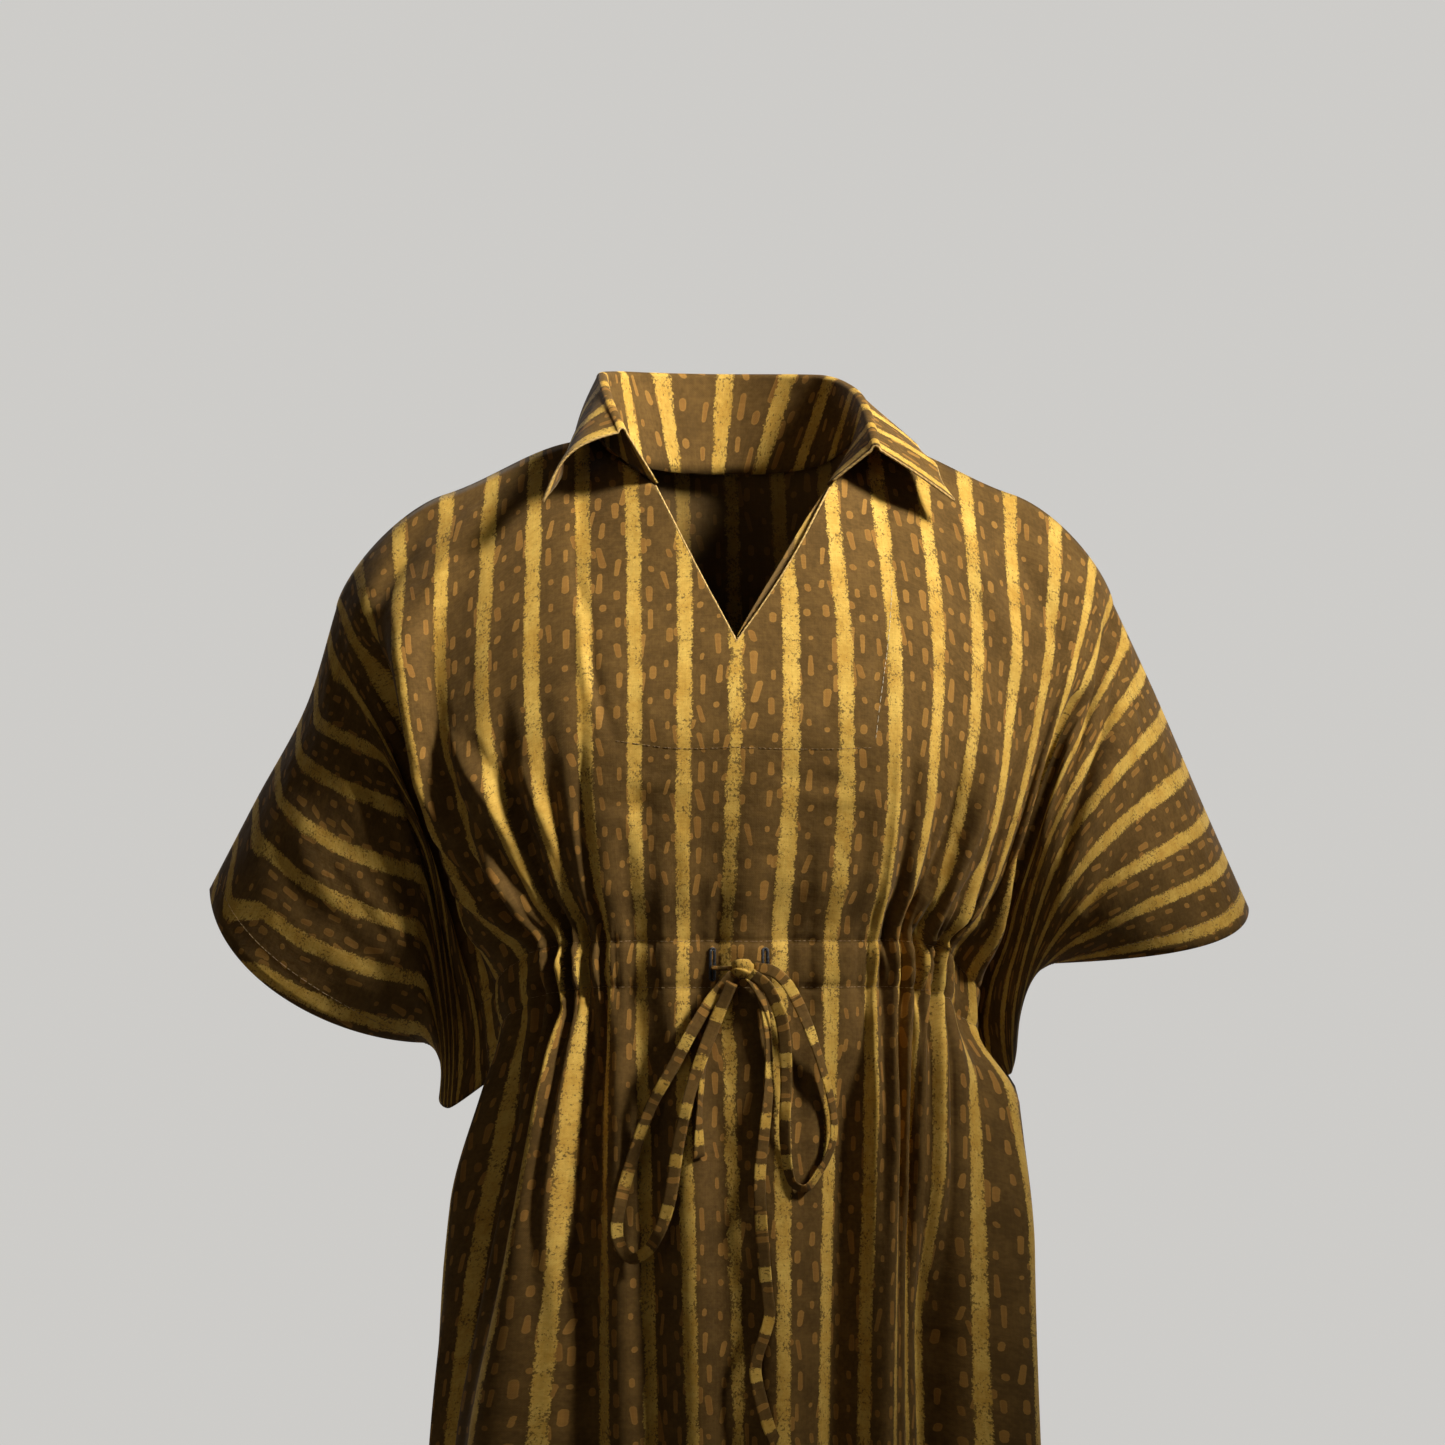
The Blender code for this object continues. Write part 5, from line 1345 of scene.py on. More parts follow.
@dataclass(frozen=True)
class CottonFinish:
    """A matt printed cotton."""

    name: str
    fade: float = 0.0  # how far the print is lost, as on the cloth's reverse
    crumple: float = 1.0
    roughness: float = 0.82
    shade: tuple = (0.86, 1.08)  # how dark and light the threads make it
    ink: float = 0.02  # how thick the stripes' ink stands, in millimetres

    def material(self, printing: NodeTree, weave: NodeTree) -> Material:
        """The material, whose print and weave follow the piece's flat cut."""
        made, g, shader = new_material(self.name)
        place = g.flat_cut()
        colour = g.group(printing, vector=place, fade=self.fade)
        cloth = g.group(weave, vector=place, crumple=self.crumple)
        ink, thread = colour.outputs["Ink"], cloth.outputs["Thread"]
        given = {0: colour.outputs["Color"], "Scale": g.step(thread, (0.25, 0.85), self.shade)}
        toned = g.node("ShaderNodeVectorMath", given, operation="SCALE")
        height = g.total(cloth.outputs["Height"], g.times(ink, self.ink))
        rough = g.total(self.roughness, g.times(ink, -0.08), g.times(thread, 0.08))
        g.fill(shader, {"Base Color": toned.outputs[0], "Roughness": rough, "Sheen Weight": 0.03,
                        "Sheen Roughness": 0.5, "Specular IOR Level": 0.14, "Normal": g.bump(height, 1, MM)})
        return made


@dataclass(frozen=True)
class ThreadFinish:
    """Twisted thread, or a plain folded edge of cloth, whose pale colour there is a painted highlight."""

    name: str
    colour: tuple
    dark: tuple  # painted shade between its strands, and its worn patches
    twist: float = 0.0012  # the length of one turn
    roughness: float = 0.6
    wear: Noise = Noise(420.0, 3.0, 0.6)

    def material(self) -> Material:
        """The material: slanting strands from a sine of both flat coordinates, with noise; the darker colour
        between the strands is painted shade.
        """
        made, g, shader = new_material(self.name)
        place = g.flat_cut()
        a, b, _ = g.apart(place)
        strands = g.math("SINE", g.times(g.total(a, b), 2 * np.pi / self.twist))
        worn = g.noise(place, self.wear)
        tone = g.total(g.times(strands, 0.28), g.times(worn, 0.9), 0.05)
        # darker in painted shade where the strands dip, and in worn patches
        g.fill(shader, {"Base Color": g.mix(g.step(tone, (0.1, 0.9)), self.dark, self.colour),
                        "Roughness": g.total(self.roughness, g.times(worn, 0.15)),
                        "Normal": g.bump(tone, 0.6, 0.0002)})
        return made


@dataclass(frozen=True)
class FloorFinish:
    """A plain pale floor, whose colour the surrounding shares."""

    name: str = "studio_floor"
    colour: tuple = (0.62, 0.61, 0.59)
    darker: float = 0.97  # its clouds, as a share of the colour
    glow: float = 0.7  # which only the camera sees

    def material(self) -> Material:
        """The material: one pale colour with a faint cloud, and the glow."""
        made, g, shader = new_material(self.name)
        place = g.node("ShaderNodeTexCoord").outputs["Object"]
        seen = g.node("ShaderNodeLightPath").outputs["Is Camera Ray"]
        cloudy = g.mix(g.noise(place, Noise(0.8)), self.colour, tuple(c * self.darker for c in self.colour))
        g.fill(shader, {"Base Color": cloudy, "Roughness": 0.9, "Emission Color": self.colour,
                        "Emission Strength": g.times(seen, self.glow)})
        return made


def new_material(name: str) -> tuple[Material, Graph, Node]:
    """An empty material with its graph and its Principled BSDF."""
    made = bpy.data.materials.new(name)
    made.use_nodes = True
    shader = made.node_tree.nodes["Principled BSDF"]
    shader.inputs["Metallic"].default_value = 0
    return made, Graph(made.node_tree), shader


class Wardrobe(NamedTuple):
    """The materials of the kaftan."""

    cloth: Material
    reverse: Material
    tie: Material
    stitch: Material
    pale_thread: Material
    # the pale colour of the folded edges, a painted highlight
    painted_fold_highlight: Material
    buttonhole: Material


def all_finishes() -> Wardrobe:
    """Makes the node groups and the materials."""
    printing, weave = BlockPrint().group(Dashes().group()), Weave().group()
    cottons = (CottonFinish("printed_cotton_face"), CottonFinish("printed_cotton_reverse", fade=0.45),
               CottonFinish("tie_cotton_face", crumple=0.35))
    # each thread's second colour is painted shade between its strands, and its worn patches
    threads = (ThreadFinish("golden_thread", (0.3, 0.19, 0.075), (0.14, 0.08, 0.03)),
               ThreadFinish("pale_thread", (0.62, 0.55, 0.42), (0.34, 0.28, 0.18)),
               # the folded edges: the pale colour is a painted highlight on their crests
               ThreadFinish("fold_painted_highlight", (0.46, 0.3, 0.1), (0.28, 0.17, 0.05), 0.004, 0.8),
               ThreadFinish("blue_black_thread", (0.011, 0.012, 0.018), (0.003, 0.003, 0.005), 0.0009, 0.35))
    return Wardrobe(*(f.material(printing, weave) for f in cottons), *(f.material() for f in threads))


@dataclass
class Panels:
    """Front and back, each with its sleeve halves, and the coarse front that the bow lies on."""

    finishes: Wardrobe
    front: PanelGrid = field(init=False)
    back: PanelGrid = field(init=False)
    plain_front: PanelGrid = field(init=False)

    def __post_init__(self) -> None:
        """Places the grids and joins them at the seams."""
        trunk, rows = steps(MARKS_A, FINE_A), steps(MARKS_B, FINE_B)
        beyond = np.linspace(SIDE_A, CUFF_A, FINE_SLEEVE_A + 1)[1:]
        self.front, self.back = (PanelGrid(back, trunk, beyond, rows) for back in (False, True))
        join_seams(self.front, self.back)
        beyond = np.linspace(SIDE_A, CUFF_A, COARSE_SLEEVE_A + 1)[1:]
        levels = np.array(UPPER_ROWS + LOWER_ROWS)
        self.plain_front = PanelGrid(False, steps(MARKS_A, COARSE_A), beyond, levels, detailed=False)

    def wall(self, name: str, grid: PanelGrid, chosen: Array, inward: float) -> Object:
        """A wall of cloth over some of a panel's faces, moved inward from the panel."""
        uv = np.stack([grid.print_a(), grid.b], -1)
        return shell(name, grid.points - grid.normals * inward, grid.normals, chosen, uv, CLOTH,
                     self.finishes.cloth, self.finishes.reverse)

    def patch(self, grid: PanelGrid, b: tuple[float, float], a: tuple[float, float]) -> Array:
        """The faces of a panel between two rows and two columns."""
        faces = grid.quads()
        corners = faces.reshape(-1, 4)
        row, column = corners // grid.a.shape[1], corners % grid.a.shape[1]
        top, foot = grid.row_at(b[0]), grid.row_at(b[1])
        first, last = grid.column_at(a[0]), grid.column_at(a[1])
        inside = (row >= top) & (row <= foot) & (column >= first) & (column <= last)
        return faces[inside.all(axis=1)]

    def build(self) -> None:
        """Builds the two panels, the neck facing and the two casings of the waist."""
        for name, grid in (("front", self.front), ("back", self.back)):
            panel = self.wall(f"{name}_panel", grid, grid.quads(), 0.0)
            dress(panel, name)
        chosen = self.patch(self.front, (0, FACING_B), (-NECK_A, NECK_A))
        facing = self.wall("facing_strip", self.front, chosen, LAYER)
        dress(facing, "neck_facing")
        inner = SIDE_A - CASING_SHORT
        for name, grid in (("waist_casing_front", self.front), ("waist_casing_back", self.back)):
            strip = self.wall(f"{name}_strip", grid, self.patch(grid, CHANNEL_ROWS, (-inner, inner)), LAYER)
            dress(strip, name)


def dress(piece: Object, *nodes: str, slot: str = "printed_cotton") -> None:
    """Lets a piece ride on the garment in place of some of its solids, and reports it."""
    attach(piece, "root")
    if nodes:
        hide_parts(*nodes)
    LOG.info("%s: %d faces", piece.name, len(piece.data.polygons))


@dataclass
class OnPanels:
    """What lies on the panels."""

    panels: Panels
    finishes: Wardrobe


@dataclass
class Collar(OnPanels):
    """The open collar: stand, roll and leaf, with a thin fold along its free edge, painted pale as a
    highlight.
    """

    lengths: int = 170
    stand_steps: int = 8
    roll_steps: int = 10
    leaf_steps: int = 18
    ripple: float = 0.0012
    ripples: tuple = (9.0, 0.2)  # the edge's waves, and where they start
    fold_radius: float = 0.00085
    v_radius: float = 0.0008
    lip_width: float = 0.008  # of the facing inside the V, at most
    lip_sag: float = 0.0016
    lip_steps: int = 6
    lip_way: tuple = (-1.0, 0.16, -0.25)

    def neck_seam(self) -> Array:
        """Where the collar's lower edge lies: just above and inside the panels' neck edge, evenly spaced."""
        front, back = self.panels.front, self.panels.back
        edge = np.concatenate([
            front.neck_edge(-NECK_A, V_LEFT_A)[::-1],
            back.neck_edge(-NECK_A, NECK_A)[1:-1],
            front.neck_edge(V_RIGHT_A, NECK_A)[::-1],
        ])
        inwards = unit(-edge * [1, 1, 0])
        tuck = ramp(edge[:, 1:2], NECK_TUCK_FROM, NECK_TUCK_TO)
        inset = inwards * (COLLAR_IN + TUCK_IN * tuck)
        rise = np.array([0, 0, 1]) * (COLLAR_UP - TUCK_DOWN * tuck)
        return smooth_route(edge + inset + rise, self.lengths + 1)

    def grid(self) -> Array:
        """The collar's grid: straight up the stand, half a circle over the roll, down the leaf with a bow."""
        rows = [[s.along, *s.roll, *s.edge, s.arch] for s in COLLAR]
        share = np.linspace(0, 1, self.lengths + 1)
        curves = smooth_rows(rows, share) * MM
        seam, roll, edge, arch = self.neck_seam(), curves[:, :3], curves[:, 3:6], curves[:, 6:]
        outwards = unit(edge * [1, 1, 0])
        centre = roll - [0, 0, ROLL_RADIUS]
        stand_top, leaf_top = centre - outwards * ROLL_RADIUS, centre + outwards * ROLL_RADIUS
        lines = [seam + (stand_top - seam) * u for u in np.linspace(0, 1, self.stand_steps + 1)[:-1]]
        for turn in np.linspace(0, np.pi, self.roll_steps + 1):
            lines.append(centre + ROLL_RADIUS * ([0, 0, np.sin(turn)] - np.cos(turn) * outwards))
        waves, start = self.ripples
        ripple = self.ripple * np.sin(2 * np.pi * (share * waves + start))[:, None] * outwards
        for u in np.linspace(0, 1, self.leaf_steps + 1)[1:]:
            raised = arch * np.sin(np.pi * u) * (outwards + [0, 0, 1]) / np.sqrt(2)
            lines.append(leaf_top + (edge - leaf_top) * u + raised + ripple * u ** 2)
        return np.stack(lines, axis=1)

    def build(self) -> None:
        """Builds the collar and the folds on its free edge and on the V's two edges, whose pale colour is a
        painted highlight.
        """
        grid = self.grid()
        many, wide = grid.shape[:2]
        faces = grid_faces(many, wide)
        along = 3 * STRIPE_PITCH + np.linspace(-COLLAR_BEFORE, 12 * STRIPE_PITCH + COLLAR_AFTER, many)
        down = np.concatenate([[0], np.cumsum(np.linalg.norm(np.diff(grid, axis=1), axis=2).mean(axis=0))])
        uv = np.stack([np.repeat(along, wide), np.tile(down, many)], -1)
        collar = shell("collar_leaf", grid, corner_normals(grid, faces), faces, uv, COLLAR_WALL,
                       self.finishes.cloth, self.finishes.cloth)
        dress(collar, "collar")
        free = np.concatenate([grid[0, 1:], grid[1:-1, -1], grid[-1, 1:][::-1]])
        line = smooth_route(free, 420)
        out = np.tile([0, 0, 1.0], (len(line), 1)) + [0.1, -0.2, 0]
        # the collar's folded edge, painted pale as a highlight
        edge = round_tube("collar_edge_fold", line, out, self.fold_radius, self.finishes.painted_fold_highlight)
        dress(edge)
        slit = self.panels.front.neck_edge(V_LEFT_A, V_RIGHT_A)
        tip = int(np.argmin(slit[:, 2]))
        # the V's folded edges, painted pale as a highlight
        for name, half in (("v_edge_left", slit[:tip + 1]), ("v_edge_right", slit[tip:])):
            line = smooth_route(half, 90)
            out = np.tile([0, -1.0, 0.1], (len(line), 1))
            dress(round_tube(name, line, out, self.v_radius, self.finishes.painted_fold_highlight))
        self.facing_lip(smooth_route(slit[tip:], 60))

    def facing_lip(self, line: Array) -> None:
        """The facing inside the V's right edge, lip_width x sin(pi s)^0.6 wide.

        Args:
            line: the edge, from the tip up.
        """
        share = np.linspace(0, 1, len(line))
        width = self.lip_width * np.sin(np.pi * np.clip(share, 0.02, 0.98)) ** 0.6
        u = np.linspace(0, 1, self.lip_steps + 1)
        across = (width[:, None] * u)[..., None] * unit(np.array(self.lip_way))
        sag = self.lip_sag * np.sin(np.pi * u) + LAYER
        grid = line[:, None] + across + sag[None, :, None] * np.array([0, 1.0, 0])
        faces = grid_faces(*grid.shape[:2])[:, FLIPPED]
        length = share * whole_length(line)
        down = length[:, None] + 0 * u
        uv = np.stack([PRINT_APART + 0.35 * down - width[:, None] * u, down], -1)
        lip = shell("facing_lip_right", grid, corner_normals(grid, faces), faces, uv, CLOTH / 2,
                    self.finishes.cloth, self.finishes.reverse)
        dress(lip)


SLANT_REACH = 0.01  # how far from a bare end its slanting cut is felt


class End(Enum):
    """What a strand of the tie comes to."""

    KNOT = "object"
    CUT = "bare"


@dataclass
class Strand:
    """One strand of the tie: a route on the cloth, how far it stands off, and how it is turned."""

    name: str
    node: str
    route: tuple  # in millimetres, as seen from the front
    lift: tuple  # how far off the cloth it stands along the route, in millimetres
    end: End = End.CUT
    shift: float = 0.0  # where in the print it was cut
    slant: float = 0.0  # how far one edge of its end is cut past the other
    roll: tuple = (0.0, 0.0)  # degrees that it is turned edge-on along the route
    narrow: float = 1.0
    step: float = 0.012
    corners: tuple = (0.55, 0.75)  # the powers of its section, across and through
    squeeze: tuple = (0.1, 0.017)  # how much narrower it gets at times, and over what length
    tilt: tuple = (0.18, 0.041)  # how far it tilts to and fro, and over what length
    crease: tuple = (0.00025, 0.0011)  # depth and width of the crease down its middle

    def line(self, front: PanelGrid) -> Array:
        """The strand's centre line in front of the panel."""
        route = np.array(self.route, float) * MM
        count = max(4, round(whole_length(route) / self.step))
        flat = smooth_route(route, count + 1)
        x, y, z = front.points.reshape(-1, 3).T
        near = np.hypot(x - flat[:, :1], z - flat[:, 1:])
        stand = np.where(near < np.maximum(REST_REACH, np.sort(near, axis=1)[:, 3:4]), y, np.inf).min(axis=1)
        for _ in range(3):
            eased = stand.copy()
            eased[1:-1] = np.minimum(stand[1:-1], (stand[:-2] + stand[1:-1] + stand[2:]) / 3)
            stand = eased
        height = np.interp(np.linspace(0, 1, count + 1), np.linspace(0, 1, len(self.lift)), self.lift) * MM
        return np.column_stack([flat[:, 0], stand - height, flat[:, 1]])

    def build(self, front: PanelGrid, finishes: Wardrobe) -> tuple[Object, Array]:
        """Builds the strand: a flattened superellipse carried along its line, narrower and thicker at times.

        Args:
            front: the coarse front panel.
            finishes: the finishes.

        Returns:
            The piece and its centre line.
        """
        line = self.line(front)
        fine = smooth_route(line, max(12, 4 * len(line)))
        side, up = frames_along(fine, np.tile([0, -1.0, 0], (len(fine), 1)))
        many, length = len(fine), lengths(fine)
        turn = turns(20)
        flat, tall = (np.sign(v) * np.abs(v) ** power
                      for v, power in zip((np.cos(turn), np.sin(turn)), self.corners))
        start = self.shift / STRIPE_PITCH
        squeeze = 1 - self.squeeze[0] * (0.5 + 0.5 * np.sin(length / self.squeeze[1] + 4 * start))[:, None]
        turned = np.radians(np.interp(length / length[-1], np.linspace(0, 1, len(self.roll)), self.roll))
        tilt = (turned + self.tilt[0] * np.sin(length / self.tilt[1] + 9 * start))[:, None]
        wide = TIE_WIDTH / 2 * self.narrow * squeeze * flat
        thick = TIE_WALL / 2 * (2 - squeeze) / self.narrow ** 0.45 * tall
        thick_creased = thick - self.crease[0] * bell(wide / self.crease[1]) * (tall > 0)
        ring = np.stack([wide * np.cos(tilt) - thick * np.sin(tilt),
                         wide * np.sin(tilt) + thick_creased * np.cos(tilt)], axis=-1)
        across = np.cumsum(np.abs(np.diff(np.append(wide[0], wide[0, 0]))))
        around = np.broadcast_to(across - across[-1] / 2, (many, len(turn)))
        down = np.broadcast_to(length[:, None], (many, len(turn)))
        uv = np.stack([down + self.shift, around + PRINT_APART], -1)
        piece = tube(self.name, fine, side, up, ring, uv, finishes.tie)
        if self.slant:
            near_end = ramp(length, length[-1] - SLANT_REACH, length[-1])[:, None, None]
            pulled = near_end * (wide[..., None] / (TIE_WIDTH / 2)) * self.slant
            shift_points(piece, (pulled * unit(np.gradient(fine, axis=0))[:, None]).reshape(-1, 3))
        return piece, fine


def shift_points(piece: Object, moves: Array) -> None:
    """Moves a mesh's first points by the given steps."""
    count = len(piece.data.vertices)
    points = np.empty(count * 3, np.float32)
    piece.data.vertices.foreach_get("co", points)
    points = points.reshape(-1, 3)
    points[:len(moves)] += moves
    piece.data.vertices.foreach_set("co", points.ravel())
    piece.data.update()


@dataclass
class Bow(OnPanels):
    """The tie's knot, two loops, two ends and the stub that comes out of the left buttonhole."""

    lines: int = 60
    around: int = 48
    slant: tuple = (0.5, 0.6)  # how far the knot's wraps slant, and from where
    wrap: tuple = (1.15, 0.35)  # how tall one is, and where the first starts
    blunt: float = 0.62
    fuller: float = 1.06  # than its solid

    def knot(self) -> Object:
        """The knot: a superellipsoid whose radius rises across each slanting wrap and steps in at its end."""
        x, z = KNOT[0] * MM, KNOT[1] * MM
        front = self.panels.plain_front
        near = np.hypot(front.points[..., 0] - x, front.points[..., 2] - z)
        chosen = near < max(REST_REACH, np.sort(near.ravel())[3])
        centre = np.array([x, front.points[..., 1][chosen].min() - KNOT_STANDS_OFF, z])
        rise = np.linspace(-np.pi / 2, np.pi / 2, self.lines)[:, None]
        turn = turns(self.around)[None, :]
        slant = rise + self.slant[0] * np.sin(turn + self.slant[1])
        wrap = (slant / self.wrap[0] + self.wrap[1]) % 1.0
        swell = 0.95 + (0.2 * wrap * ramp(wrap, 0, 0.15) * (1 - ramp(wrap, 0.88, 1)) - 0.04) * np.cos(rise)
        level = np.cos(rise) ** self.blunt
        shape = np.stack([level * np.cos(turn), level * np.sin(turn), np.sin(rise) + 0 * turn], -1)
        points = centre + shape * swell[..., None] * np.array(KNOT_HALF) * self.fuller
        faces = outward(points, grid_faces(self.lines, self.around, closed=True)[:, FLIPPED])
        uv = np.stack([slant * 0.0024 + 12 * STRIPE_PITCH, turn * 0.006 + 0 * rise], -1)
        piece = mesh_object("bow_knot", points, faces, uv, [self.finishes.tie])
        merge_doubles(piece)
        return piece

    def build(self) -> None:
        """Builds the bow: its knot, the stub and its four strands."""
        front = self.panels.plain_front
        strands = (
            Strand("tie_loop_left_strand", "tie_loop_left", LOOP_LEFT, (9, 7, 5, 3, 3, 3, 5, 9, 12), End.KNOT,
                   0.012, roll=(10, 30, 20, 5, 0, 15, 20, 5, 10)),
            Strand("tie_loop_right_strand", "tie_loop_right", LOOP_RIGHT, (8, 15, 11, 6, 5, 5, 5.5, 11, 17),
                   End.KNOT, 0.004, roll=(0, 5, 50, 62, 66, 60, 25, 0, 5, 10)),
            Strand("tie_end_short", "tie_tail_short", TAIL_SHORT, (1.7, 2.4, 2.6, 3.0), shift=0.02,
                   slant=0.001, roll=(20, 55, 60, 60, 15)),
            Strand("tie_end_long", "tie_tail_long", TAIL_LONG, (5.2, 3.2, 2.5, 2.5, 2.5, 3), shift=0.003,
                   slant=0.003, roll=(40, 50, 30, 0, -5, 5, 0)),
        )
        knot = self.knot()
        dress(knot, "tie_knot", slot="tie_cotton")
        stub, _ = Strand("tie_stub_roll", "tie_stub", STUB, (1.8, 6.0), shift=0.008, roll=(15, 15),
                         narrow=0.34).build(front, self.finishes)
        dress(stub, "tie_stub", slot="tie_cotton")
        for number, strand in enumerate(strands):
            piece, line = strand.build(front, self.finishes)
            dress(piece, strand.node, slot="tie_cotton")


def merge_doubles(piece: Object) -> None:
    """Merges points that lie on each other, as at a sphere's poles."""
    bm = bmesh.new()
    bm.from_mesh(piece.data)
    bmesh.ops.remove_doubles(bm, verts=bm.verts, dist=1e-6)
    bm.to_mesh(piece.data)
    bm.free()
    piece.data.shade_smooth()


# The facing's two stitched edges as flat points in millimetres, and the buttonholes' middles and heights
FACING_RIGHT = ((85, 226), (90, 190), (97, 140), (101, 112))
FACING_FOOT = ((-79, 228), (-40, 236), (0, 238), (50, 236), (85, 232))
BUTTONHOLES = (("buttonhole_left", -0.0105, CHANNEL_B, 0.02),
               ("buttonhole_right", 0.024, CHANNEL_B - 0.004, 0.012))


@dataclass
class Sewing(OnPanels):
    """Stitch rows and the two worked buttonholes."""

    pitch: float = 0.0034
    stitch: float = 0.0025
    radius: float = 0.00024
    rings: int = 5  # of points along a stitch, with as many points each
    uneven: float = 0.16  # how far stitches stray, as a share of the pitch
    cuff_in: float = 0.016
    hem_up: float = 0.02
    hole_half: float = 0.0016
    ribs: tuple = (34, 0.1)  # how many, and how deep as a share
    hole_thread: tuple = (0.00055, 0.001)  # half the ring's thickness and width

    def row(self, name: str, grid: PanelGrid, a: Array, b: Array,
            thread: Material | None = None) -> Object:
        """A row of stitches along a flat line: each a bent capsule that dips into the cloth at both ends.

        Args:
            name: the piece's name.
            grid: the panel.
            a, b: the line.
            thread: the thread, or else the golden one.

        Returns:
            The piece, all its stitches in one mesh.
        """
        points, normals = grid.on(np.asarray(a, float), np.asarray(b, float))
        length, n = lengths(points), self.rings
        count = int(length[-1] / self.pitch)
        rings, around = np.linspace(-0.5, 0.5, n), turns(n)
        strays = self.uneven * np.sin(2.4 * np.arange(count) ** 1.1)
        at = ((np.arange(count) + 0.5 + strays) * self.pitch)[:, None] + rings[None, :] * self.stitch
        centre, out = (np.stack([np.interp(at, length, v[:, k]) for k in range(3)], -1)
                       for v in (points, normals))
        out = unit(out)
        side = unit(np.cross(unit(np.gradient(centre, axis=1)), out))
        thin = np.sqrt(1 - (1.7 * rings) ** 2)[None, :, None, None] * self.radius
        height = CLOTH / 2 + self.radius * (0.9 - 3.2 * (2 * rings) ** 4 * 0.4)
        middle = centre + out * height[None, :, None]
        shape = (middle[:, :, None] + side[:, :, None] * np.cos(around)[:, None] * thin
                 + out[:, :, None] * np.sin(around)[:, None] * thin)
        one = grid_faces(n, n, closed=True)
        foot = n * (n - 1)
        caps = [[(0, k, k + 1), (foot, foot + k + 1, foot + k)] for k in range(1, n - 1)]
        triangles = np.concatenate([one[:, [0, 1, 2]], one[:, [0, 2, 3]], *np.moveaxis(np.array(caps), 1, 0)])
        faces = (triangles[None] + (np.arange(count) * n * n)[:, None, None]).reshape(-1, 3)
        uv = np.stack([np.tile(around * self.radius, (count, n, 1)),
                       np.tile((rings * self.stitch)[None, :, None], (count, 1, n))], -1)
        return mesh_object(name, shape, outward(shape, faces), uv, [thread or self.finishes.stitch])

    def buttonhole(self, name: str, a: float, b: float, tall: float) -> Object:
        """A worked buttonhole: a stadium path with a flattened ring, ribbed as satin stitches are.

        Args:
            name: the piece's name.
            a, b: its middle.
            tall: its height.

        Returns:
            The piece.
        """
        around, across = 120, 10
        turn = turns(around)
        straight = tall / 2 - self.hole_half
        path_a = self.hole_half * np.cos(turn)
        path_b = self.hole_half * np.sin(turn) + straight * np.clip(np.sin(turn) * 3, -1, 1)
        point, normal = self.panels.front.on(a + path_a, b + path_b)
        ahead = unit(np.roll(point, -1, axis=0) - np.roll(point, 1, axis=0))
        side = np.cross(ahead, normal)
        phi = turns(across)
        rib = 1 + self.ribs[1] * np.cos(turn * self.ribs[0])[:, None, None]
        thick, wide = self.hole_thread
        out = CLOTH / 2 + 0.0003 + thick * rib * np.sin(phi)[:, None]
        shape = point[:, None] + normal[:, None] * out + side[:, None] * wide * rib * np.cos(phi)[:, None]
        faces = grid_faces(around + 1, across, closed=True) % (around * across)
        uv = np.stack([np.broadcast_to(turn[:, None] * 0.006, (around, across)),
                       np.broadcast_to(phi[None, :] * 0.0002, (around, across))], -1)
        return mesh_object(name, shape, outward(shape, faces), uv, [self.finishes.buttonhole])

    def build(self) -> None:
        """Sews the channel, hem, cuffs and facing, and works the buttonholes."""
        front, back = self.panels.front, self.panels.back
        across = np.linspace(-SIDE_A + 0.004, SIDE_A - 0.004, 900)
        levels = {"upper": CHANNEL_ROWS[0], "lower": CHANNEL_ROWS[1], "hem": HEM_B - self.hem_up}
        for side, grid in (("front", front), ("back", back)):
            for place, b in levels.items():
                dress(self.row(f"stitches_{side}_{place}", grid, across, np.full(900, b)))
            for end, sign in (("left", -1), ("right", 1)):
                t = np.linspace(0.01, 0.99, 400)
                a = np.full(400, sign * (CUFF_A - self.cuff_in))
                depth = smooth_rows(SLEEVE_DEPTHS, np.abs(a))[:, 0]
                dress(self.row(f"stitches_{side}_cuff_{end}", grid, a, t * depth))
        for name, outline, thread in (("stitches_facing_right", FACING_RIGHT, self.finishes.pale_thread),
                                      ("stitches_facing_foot", FACING_FOOT, None)):
            line = smooth_route(np.array(outline, float) * MM, 400)
            dress(self.row(name, front, line[:, 0], line[:, 1], thread))
        for name, a, b, tall in BUTTONHOLES:
            dress(self.buttonhole(name, a, b, tall))


class Light(NamedTuple):
    """A square soft light: its place, its side, its watts and colour, its beam in degrees, what it faces."""

    name: str
    place: tuple
    side: float
    power: float
    colour: tuple = (1, 1, 1)
    beam: float = 180
    aim: tuple = (0, 0, -0.35)


LIGHTS = (
    Light("key", (1.95, -1.25, 1.6), 0.5, 6.7, (1, 0.97, 0.88), 28, (-0.16, 0, -0.01)),
    Light("fill", (-1.6, -3.2, 0.5), 2.4, 9, (1, 0.84, 0.62)),
    Light("rim", (-1.6, 2.4, 1.4), 1.2, 30),
    Light("back_fill", (1.4, 3.0, 0.4), 2.2, 40),
)


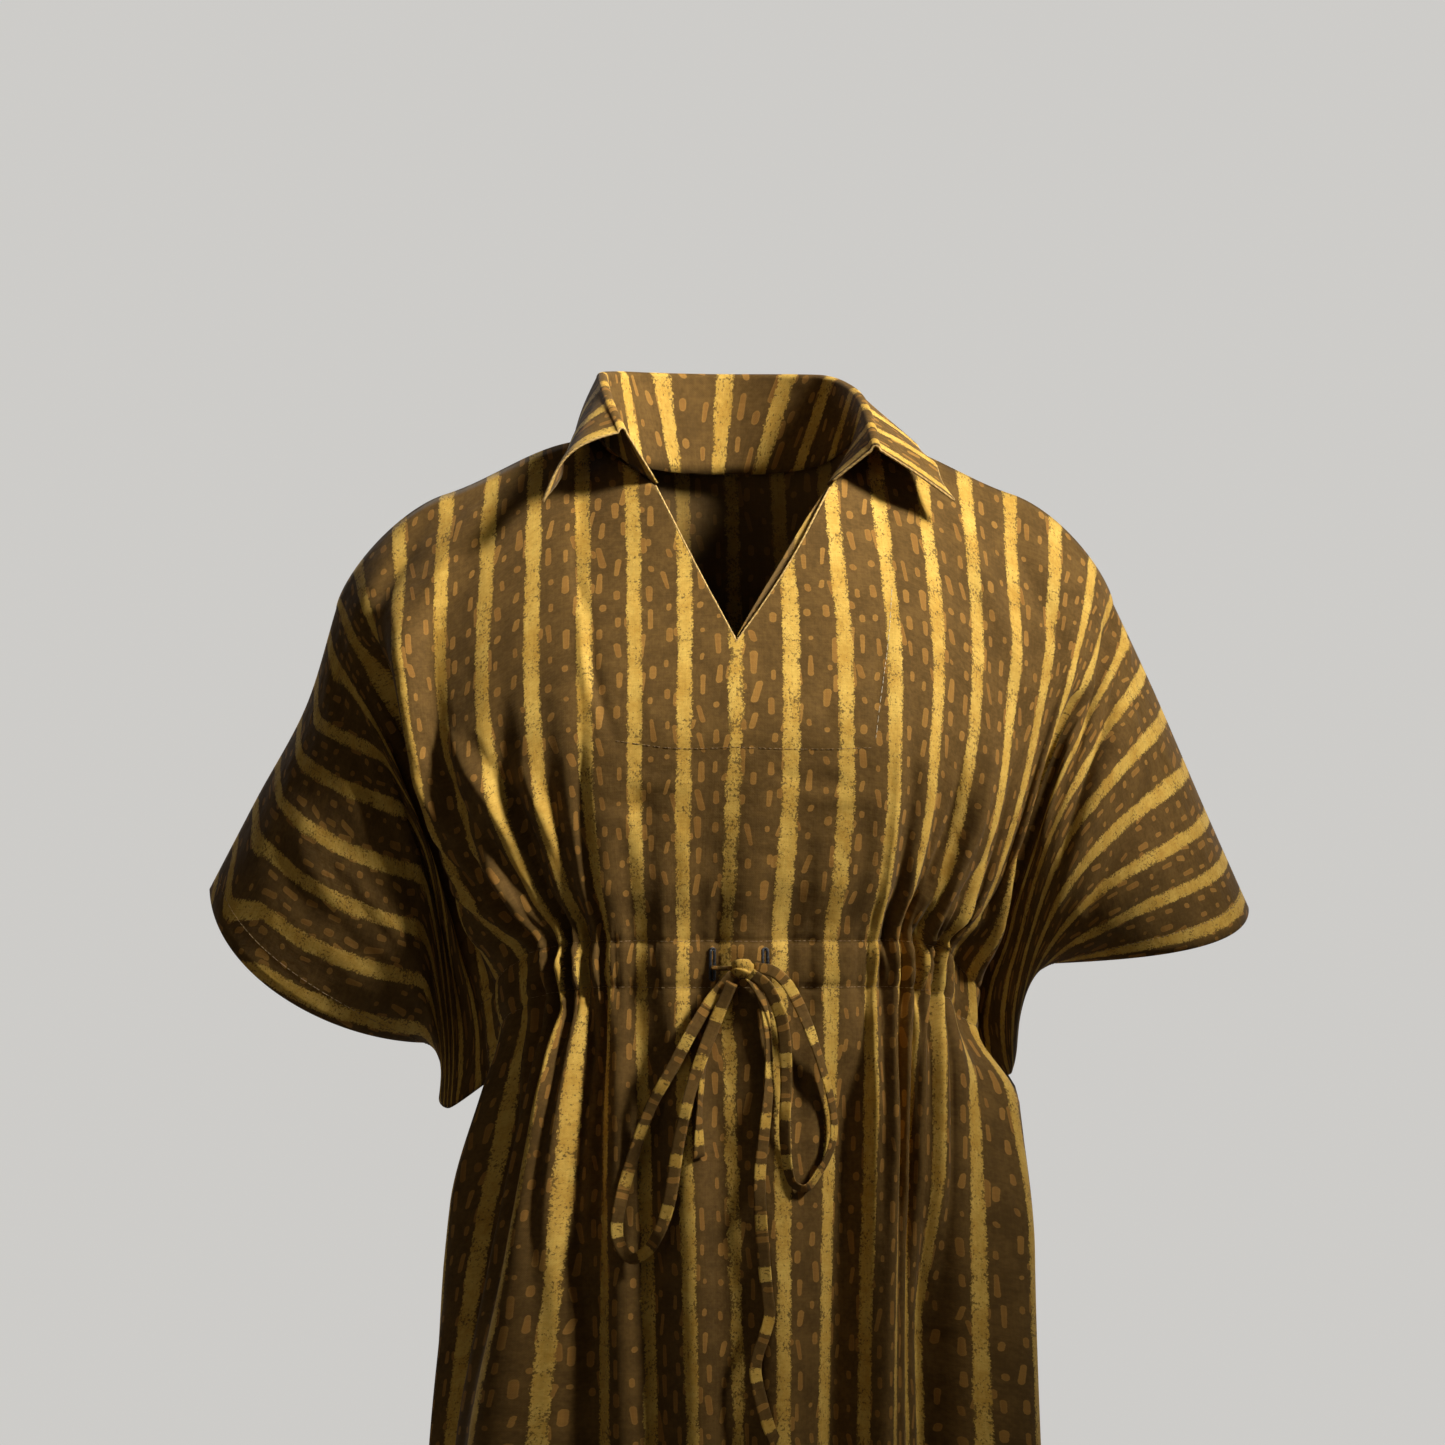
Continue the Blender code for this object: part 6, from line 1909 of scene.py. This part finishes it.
@dataclass
class Studio:
    """The camera, a plain pale floor and soft lights."""

    distance: float = 3.1
    wide: float = 0.954  # what the picture shows of the garment's plane
    sensor: float = 36
    aim: tuple = (-0.003, -0.05, -0.1865)
    floor_z: float = -1.45
    dim: float = 0.038  # how strongly the surrounding lights the garment
    seen: float = 0.952  # how much more of it the camera sees

    def camera(self) -> None:
        """The camera, level and straight in front."""
        data = bpy.data.cameras.new("camera")
        data.sensor_width = self.sensor
        data.lens = self.sensor * self.distance / self.wide
        data.clip_end = 60
        view = placed("camera", data)
        view.location = (self.aim[0], self.aim[1] - self.distance, self.aim[2])
        view.rotation_euler = (np.pi / 2, 0, 0)
        bpy.context.scene.camera = view

    def floor(self, finish: FloorFinish) -> None:
        """A large round floor: rings of points at growing distances."""
        radii = np.concatenate([[0.0], np.geomspace(0.4, 4.6, 10)])[:, None]
        turn = turns(64)
        level = np.full((len(radii), len(turn)), self.floor_z)
        shape = np.stack([radii * np.cos(turn), radii * np.sin(turn), level], -1)
        piece = mesh_object("studio_floor", shape, grid_faces(*shape.shape[:2], closed=True), shape[..., :2],
                            [finish.material()])
        merge_doubles(piece)

    def build(self) -> None:
        """Sets up floor, lights and a pale surrounding that is bright only to the camera."""
        finish = FloorFinish()
        self.floor(finish)
        for light in LIGHTS:
            data = bpy.data.lights.new(light.name, "AREA")
            data.size, data.energy, data.color = light.side, light.power, light.colour
            data.spread = np.radians(light.beam)
            lamp = placed(light.name, data)
            lamp.location = light.place
            way = Vector(light.aim) - lamp.location
            lamp.rotation_euler = way.to_track_quat("-Z", "Y").to_euler()
        world = bpy.data.worlds.new("studio")
        world.use_nodes = True
        g = Graph(world.node_tree)
        seen = g.node("ShaderNodeLightPath").outputs["Is Camera Ray"]
        g.fill(world.node_tree.nodes["Background"],
               {"Color": finish.colour, "Strength": g.total(self.dim, g.times(seen, self.seen))})
        bpy.context.scene.world = world
        bpy.context.scene.view_settings.view_transform = "Standard"


def main() -> None:
    """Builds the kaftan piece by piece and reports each."""
    logging.basicConfig(level=logging.INFO, format="%(name)s %(message)s")
    studio = Studio()
    studio.camera()
    finishes = all_finishes()
    panels = Panels(finishes)
    Bow(panels, finishes).build()
    panels.build()
    Collar(panels, finishes).build()
    Sewing(panels, finishes).build()
    studio.build()


if __name__ == "__main__":
    main()
